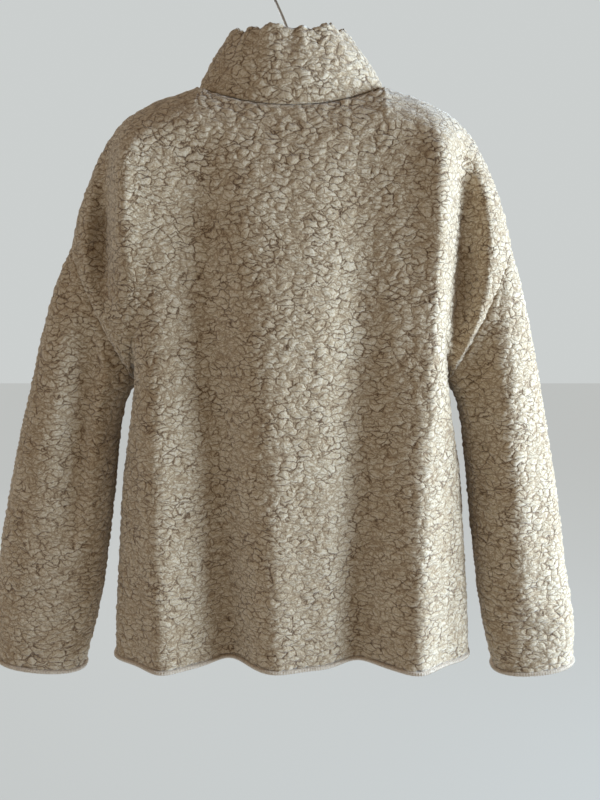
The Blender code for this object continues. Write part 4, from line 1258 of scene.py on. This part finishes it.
raised_pile = relief_group()
pile = teddy_pile()
bound = yarn_finish(
    "bound_edge",
    fluffy_edge,
    ((0.30, (0.44, 0.34, 0.25)), (0.65, (0.70, 0.60, 0.49))),
    (0.6, 0.0006),
    {"Roughness": 0.9, "Sheen Weight": 0.25, "Sheen Roughness": 0.5},
)
thread = yarn_finish(
    "sewing_thread",
    twisted_yarn,
    ((0.2, (0.52, 0.44, 0.34)), (0.8, (0.78, 0.70, 0.60))),
    (0.4, 0.0002),
    {"Roughness": 0.6},
)
tape = yarn_finish(
    "woven_tape",
    herringbone,
    ((0.0, (0.40, 0.32, 0.23)), (0.7, (0.62, 0.53, 0.42))),
    (0.5, 0.0003),
    {"Roughness": 0.8},
)
zip_metal = satin_metal("zip_metal", (0.66, 0.63, 0.58), (0.48, 0.45, 0.41), 0.24)
hook_metal = satin_metal("hook_metal", (0.62, 0.63, 0.65), (0.46, 0.47, 0.49), 0.16)
plastic = moulded_plastic()


def give(piece, node_name, body="jacket"):
    """Parents a piece to the empty of the body it rides on and hides the part's node that it
    takes the place of.
    """
    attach(piece, body)
    if node_name:
        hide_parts(node_name)
    return piece


# Cloth panels
back_left = half_panel(1.0, 1.0, BACK_HALF_COLUMNS, PANEL_ROWS)
back_right = half_panel(1.0, -1.0, BACK_HALF_COLUMNS, PANEL_ROWS)
panels = {
    "back_pile": join_halves(back_left, back_right),
    "front_left_pile": half_panel(-1.0, 1.0, FRONT_COLUMNS, PANEL_ROWS),
    "front_right_pile": half_panel(-1.0, -1.0, FRONT_COLUMNS, PANEL_ROWS),
    "sleeve_left_pile": sleeve_panel(
        LEFT_SLEEVE, LEFT_SLEEVE_CREASES, 1.0, SLEEVE_COLUMNS, SLEEVE_ROWS
    ),
    "sleeve_right_pile": sleeve_panel(
        RIGHT_SLEEVE, RIGHT_SLEEVE_CREASES, -1.0, SLEEVE_COLUMNS, SLEEVE_ROWS
    ),
}
pieces = {
    name: give(dress_panel(name, panel, pile), name.replace("_pile", ""))
    for name, panel in panels.items()
}
pieces["collar_pile"] = give(folded_collar(pile), "collar")

DOWN = np.array([0.0, 0.0, -1.0])
edges_of = {}
for panel_name, strip_name, node_name in (
    ("back_pile", "hem_edge_back", "hem_back"),
    ("front_left_pile", "hem_edge_front_left", "hem_front_left"),
    ("front_right_pile", "hem_edge_front_right", "hem_front_right"),
    ("sleeve_left_pile", "cuff_edge_left", "cuff_binding_left"),
    ("sleeve_right_pile", "cuff_edge_right", "cuff_binding_right"),
):
    points, out, _ = panels[panel_name]
    edge, level = points[-1], out[-1]
    closed = "cuff" in strip_name
    down = unit(points[-1].mean(axis=0) - points[-9].mean(axis=0)) if closed else DOWN
    level = unit(level - (level @ down)[:, None] * down)
    if closed:
        edge, level = edge[:-1], level[:-1]
    strip = bound_strip(strip_name, edge, level, down, bound, closed)
    sewn = stitch_run(strip_name + "_stitches", edge, level, down, thread)
    edges_of[panel_name] = [give(strip, node_name), give(sewn, None)]
for name, hand in (("left", 1.0), ("right", -1.0)):
    strip = zip_tape("zip_tape_woven_" + name, hand, tape)
    edges_of["front_" + name + "_pile"].append(give(strip, "zip_tape_" + name))

give(zip_teeth(zip_metal), "zip_chain")
give(slider_body(zip_metal), "zip_slider")
give(pull_tab(zip_metal), "zip_pull", "pull")
give(hook_bar(hook_metal), "hanger_hook")
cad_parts["hanger_arms"].data.materials.clear()
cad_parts["hanger_arms"].data.materials.append(plastic)

# Camera, light and floor
camera = bpy.data.objects.new("camera", bpy.data.cameras.new("camera"))
bpy.context.scene.collection.objects.link(camera)
camera.location = (-0.0104, 0.9635, -0.3493)
camera.rotation_euler = (math.radians(81), 0.0, math.radians(180))
camera.data.sensor_width = 36.0
camera.data.lens = 35.1
camera.data.clip_start = 0.05
bpy.context.scene.camera = camera


def soft_light(name, place, aim, size, power, colour):
    light = bpy.data.lights.new(name, "AREA")
    light.shape = "DISK"
    light.size = size
    light.energy = power
    light.color = colour
    made = bpy.data.objects.new(name, light)
    made.location = place
    made.rotation_euler = (Vector(aim) - Vector(place)).to_track_quat("-Z", "Y").to_euler()
    made.visible_camera = False
    bpy.context.scene.collection.objects.link(made)


soft_light("window", (-1.60, 0.29, -0.40), (0.0, 0.04, -0.45), 1.1, 80.0, (0.63, 0.81, 1.0))
soft_light("far_side", (1.9, 0.7, 0.3), (0.0, 0.0, -0.45), 1.3, 5.0, (0.97, 0.98, 1.0))
soft_light("front_fill", (0.6, -2.2, 0.3), (0.0, 0.0, -0.45), 1.6, 24.0, (1.0, 1.0, 1.0))

ROOM_GLOW = (0.265, 0.213, 0.156)  # the light that the room gives the cloth
BACKDROP = (0.60, 0.625, 0.62)  # and what is seen behind it
FLOOR_Z = -1.3
FLOOR_HALF = 6.0
world = bpy.data.worlds.new("pale_room")
bpy.context.scene.world = world
world.use_nodes = True
backdrop = world.node_tree.nodes["Background"]
rays = node(world.node_tree, "ShaderNodeLightPath").outputs["Is Camera Ray"]
room = mixed(world.node_tree, rays, ROOM_GLOW, BACKDROP)
world.node_tree.links.new(room, backdrop.inputs["Color"])
backdrop.inputs["Strength"].default_value = 1.0
bpy.context.scene.view_settings.view_transform = "Standard"

floor_bm = bmesh.new()
bmesh.ops.create_grid(floor_bm, x_segments=8, y_segments=8, size=FLOOR_HALF)
bmesh.ops.translate(floor_bm, verts=floor_bm.verts[:], vec=(0.0, 0.0, FLOOR_Z))
floor_mesh = bpy.data.meshes.new("floor")
floor_bm.to_mesh(floor_mesh)
floor_bm.free()
floor_finish, floor_tree, floor_shader = new_finish("pale_floor")
floor_settings = {
    "Base Color": (0.07, 0.075, 0.075, 1.0),
    "Emission Color": (*BACKDROP, 1.0),
    "Emission Strength": 0.80,
    "Roughness": 0.8,
}
join_inputs(floor_tree, floor_shader, floor_settings)
floor = bpy.data.objects.new("floor", floor_mesh)
floor_mesh.materials.append(floor_finish)
bpy.context.scene.collection.objects.link(floor)
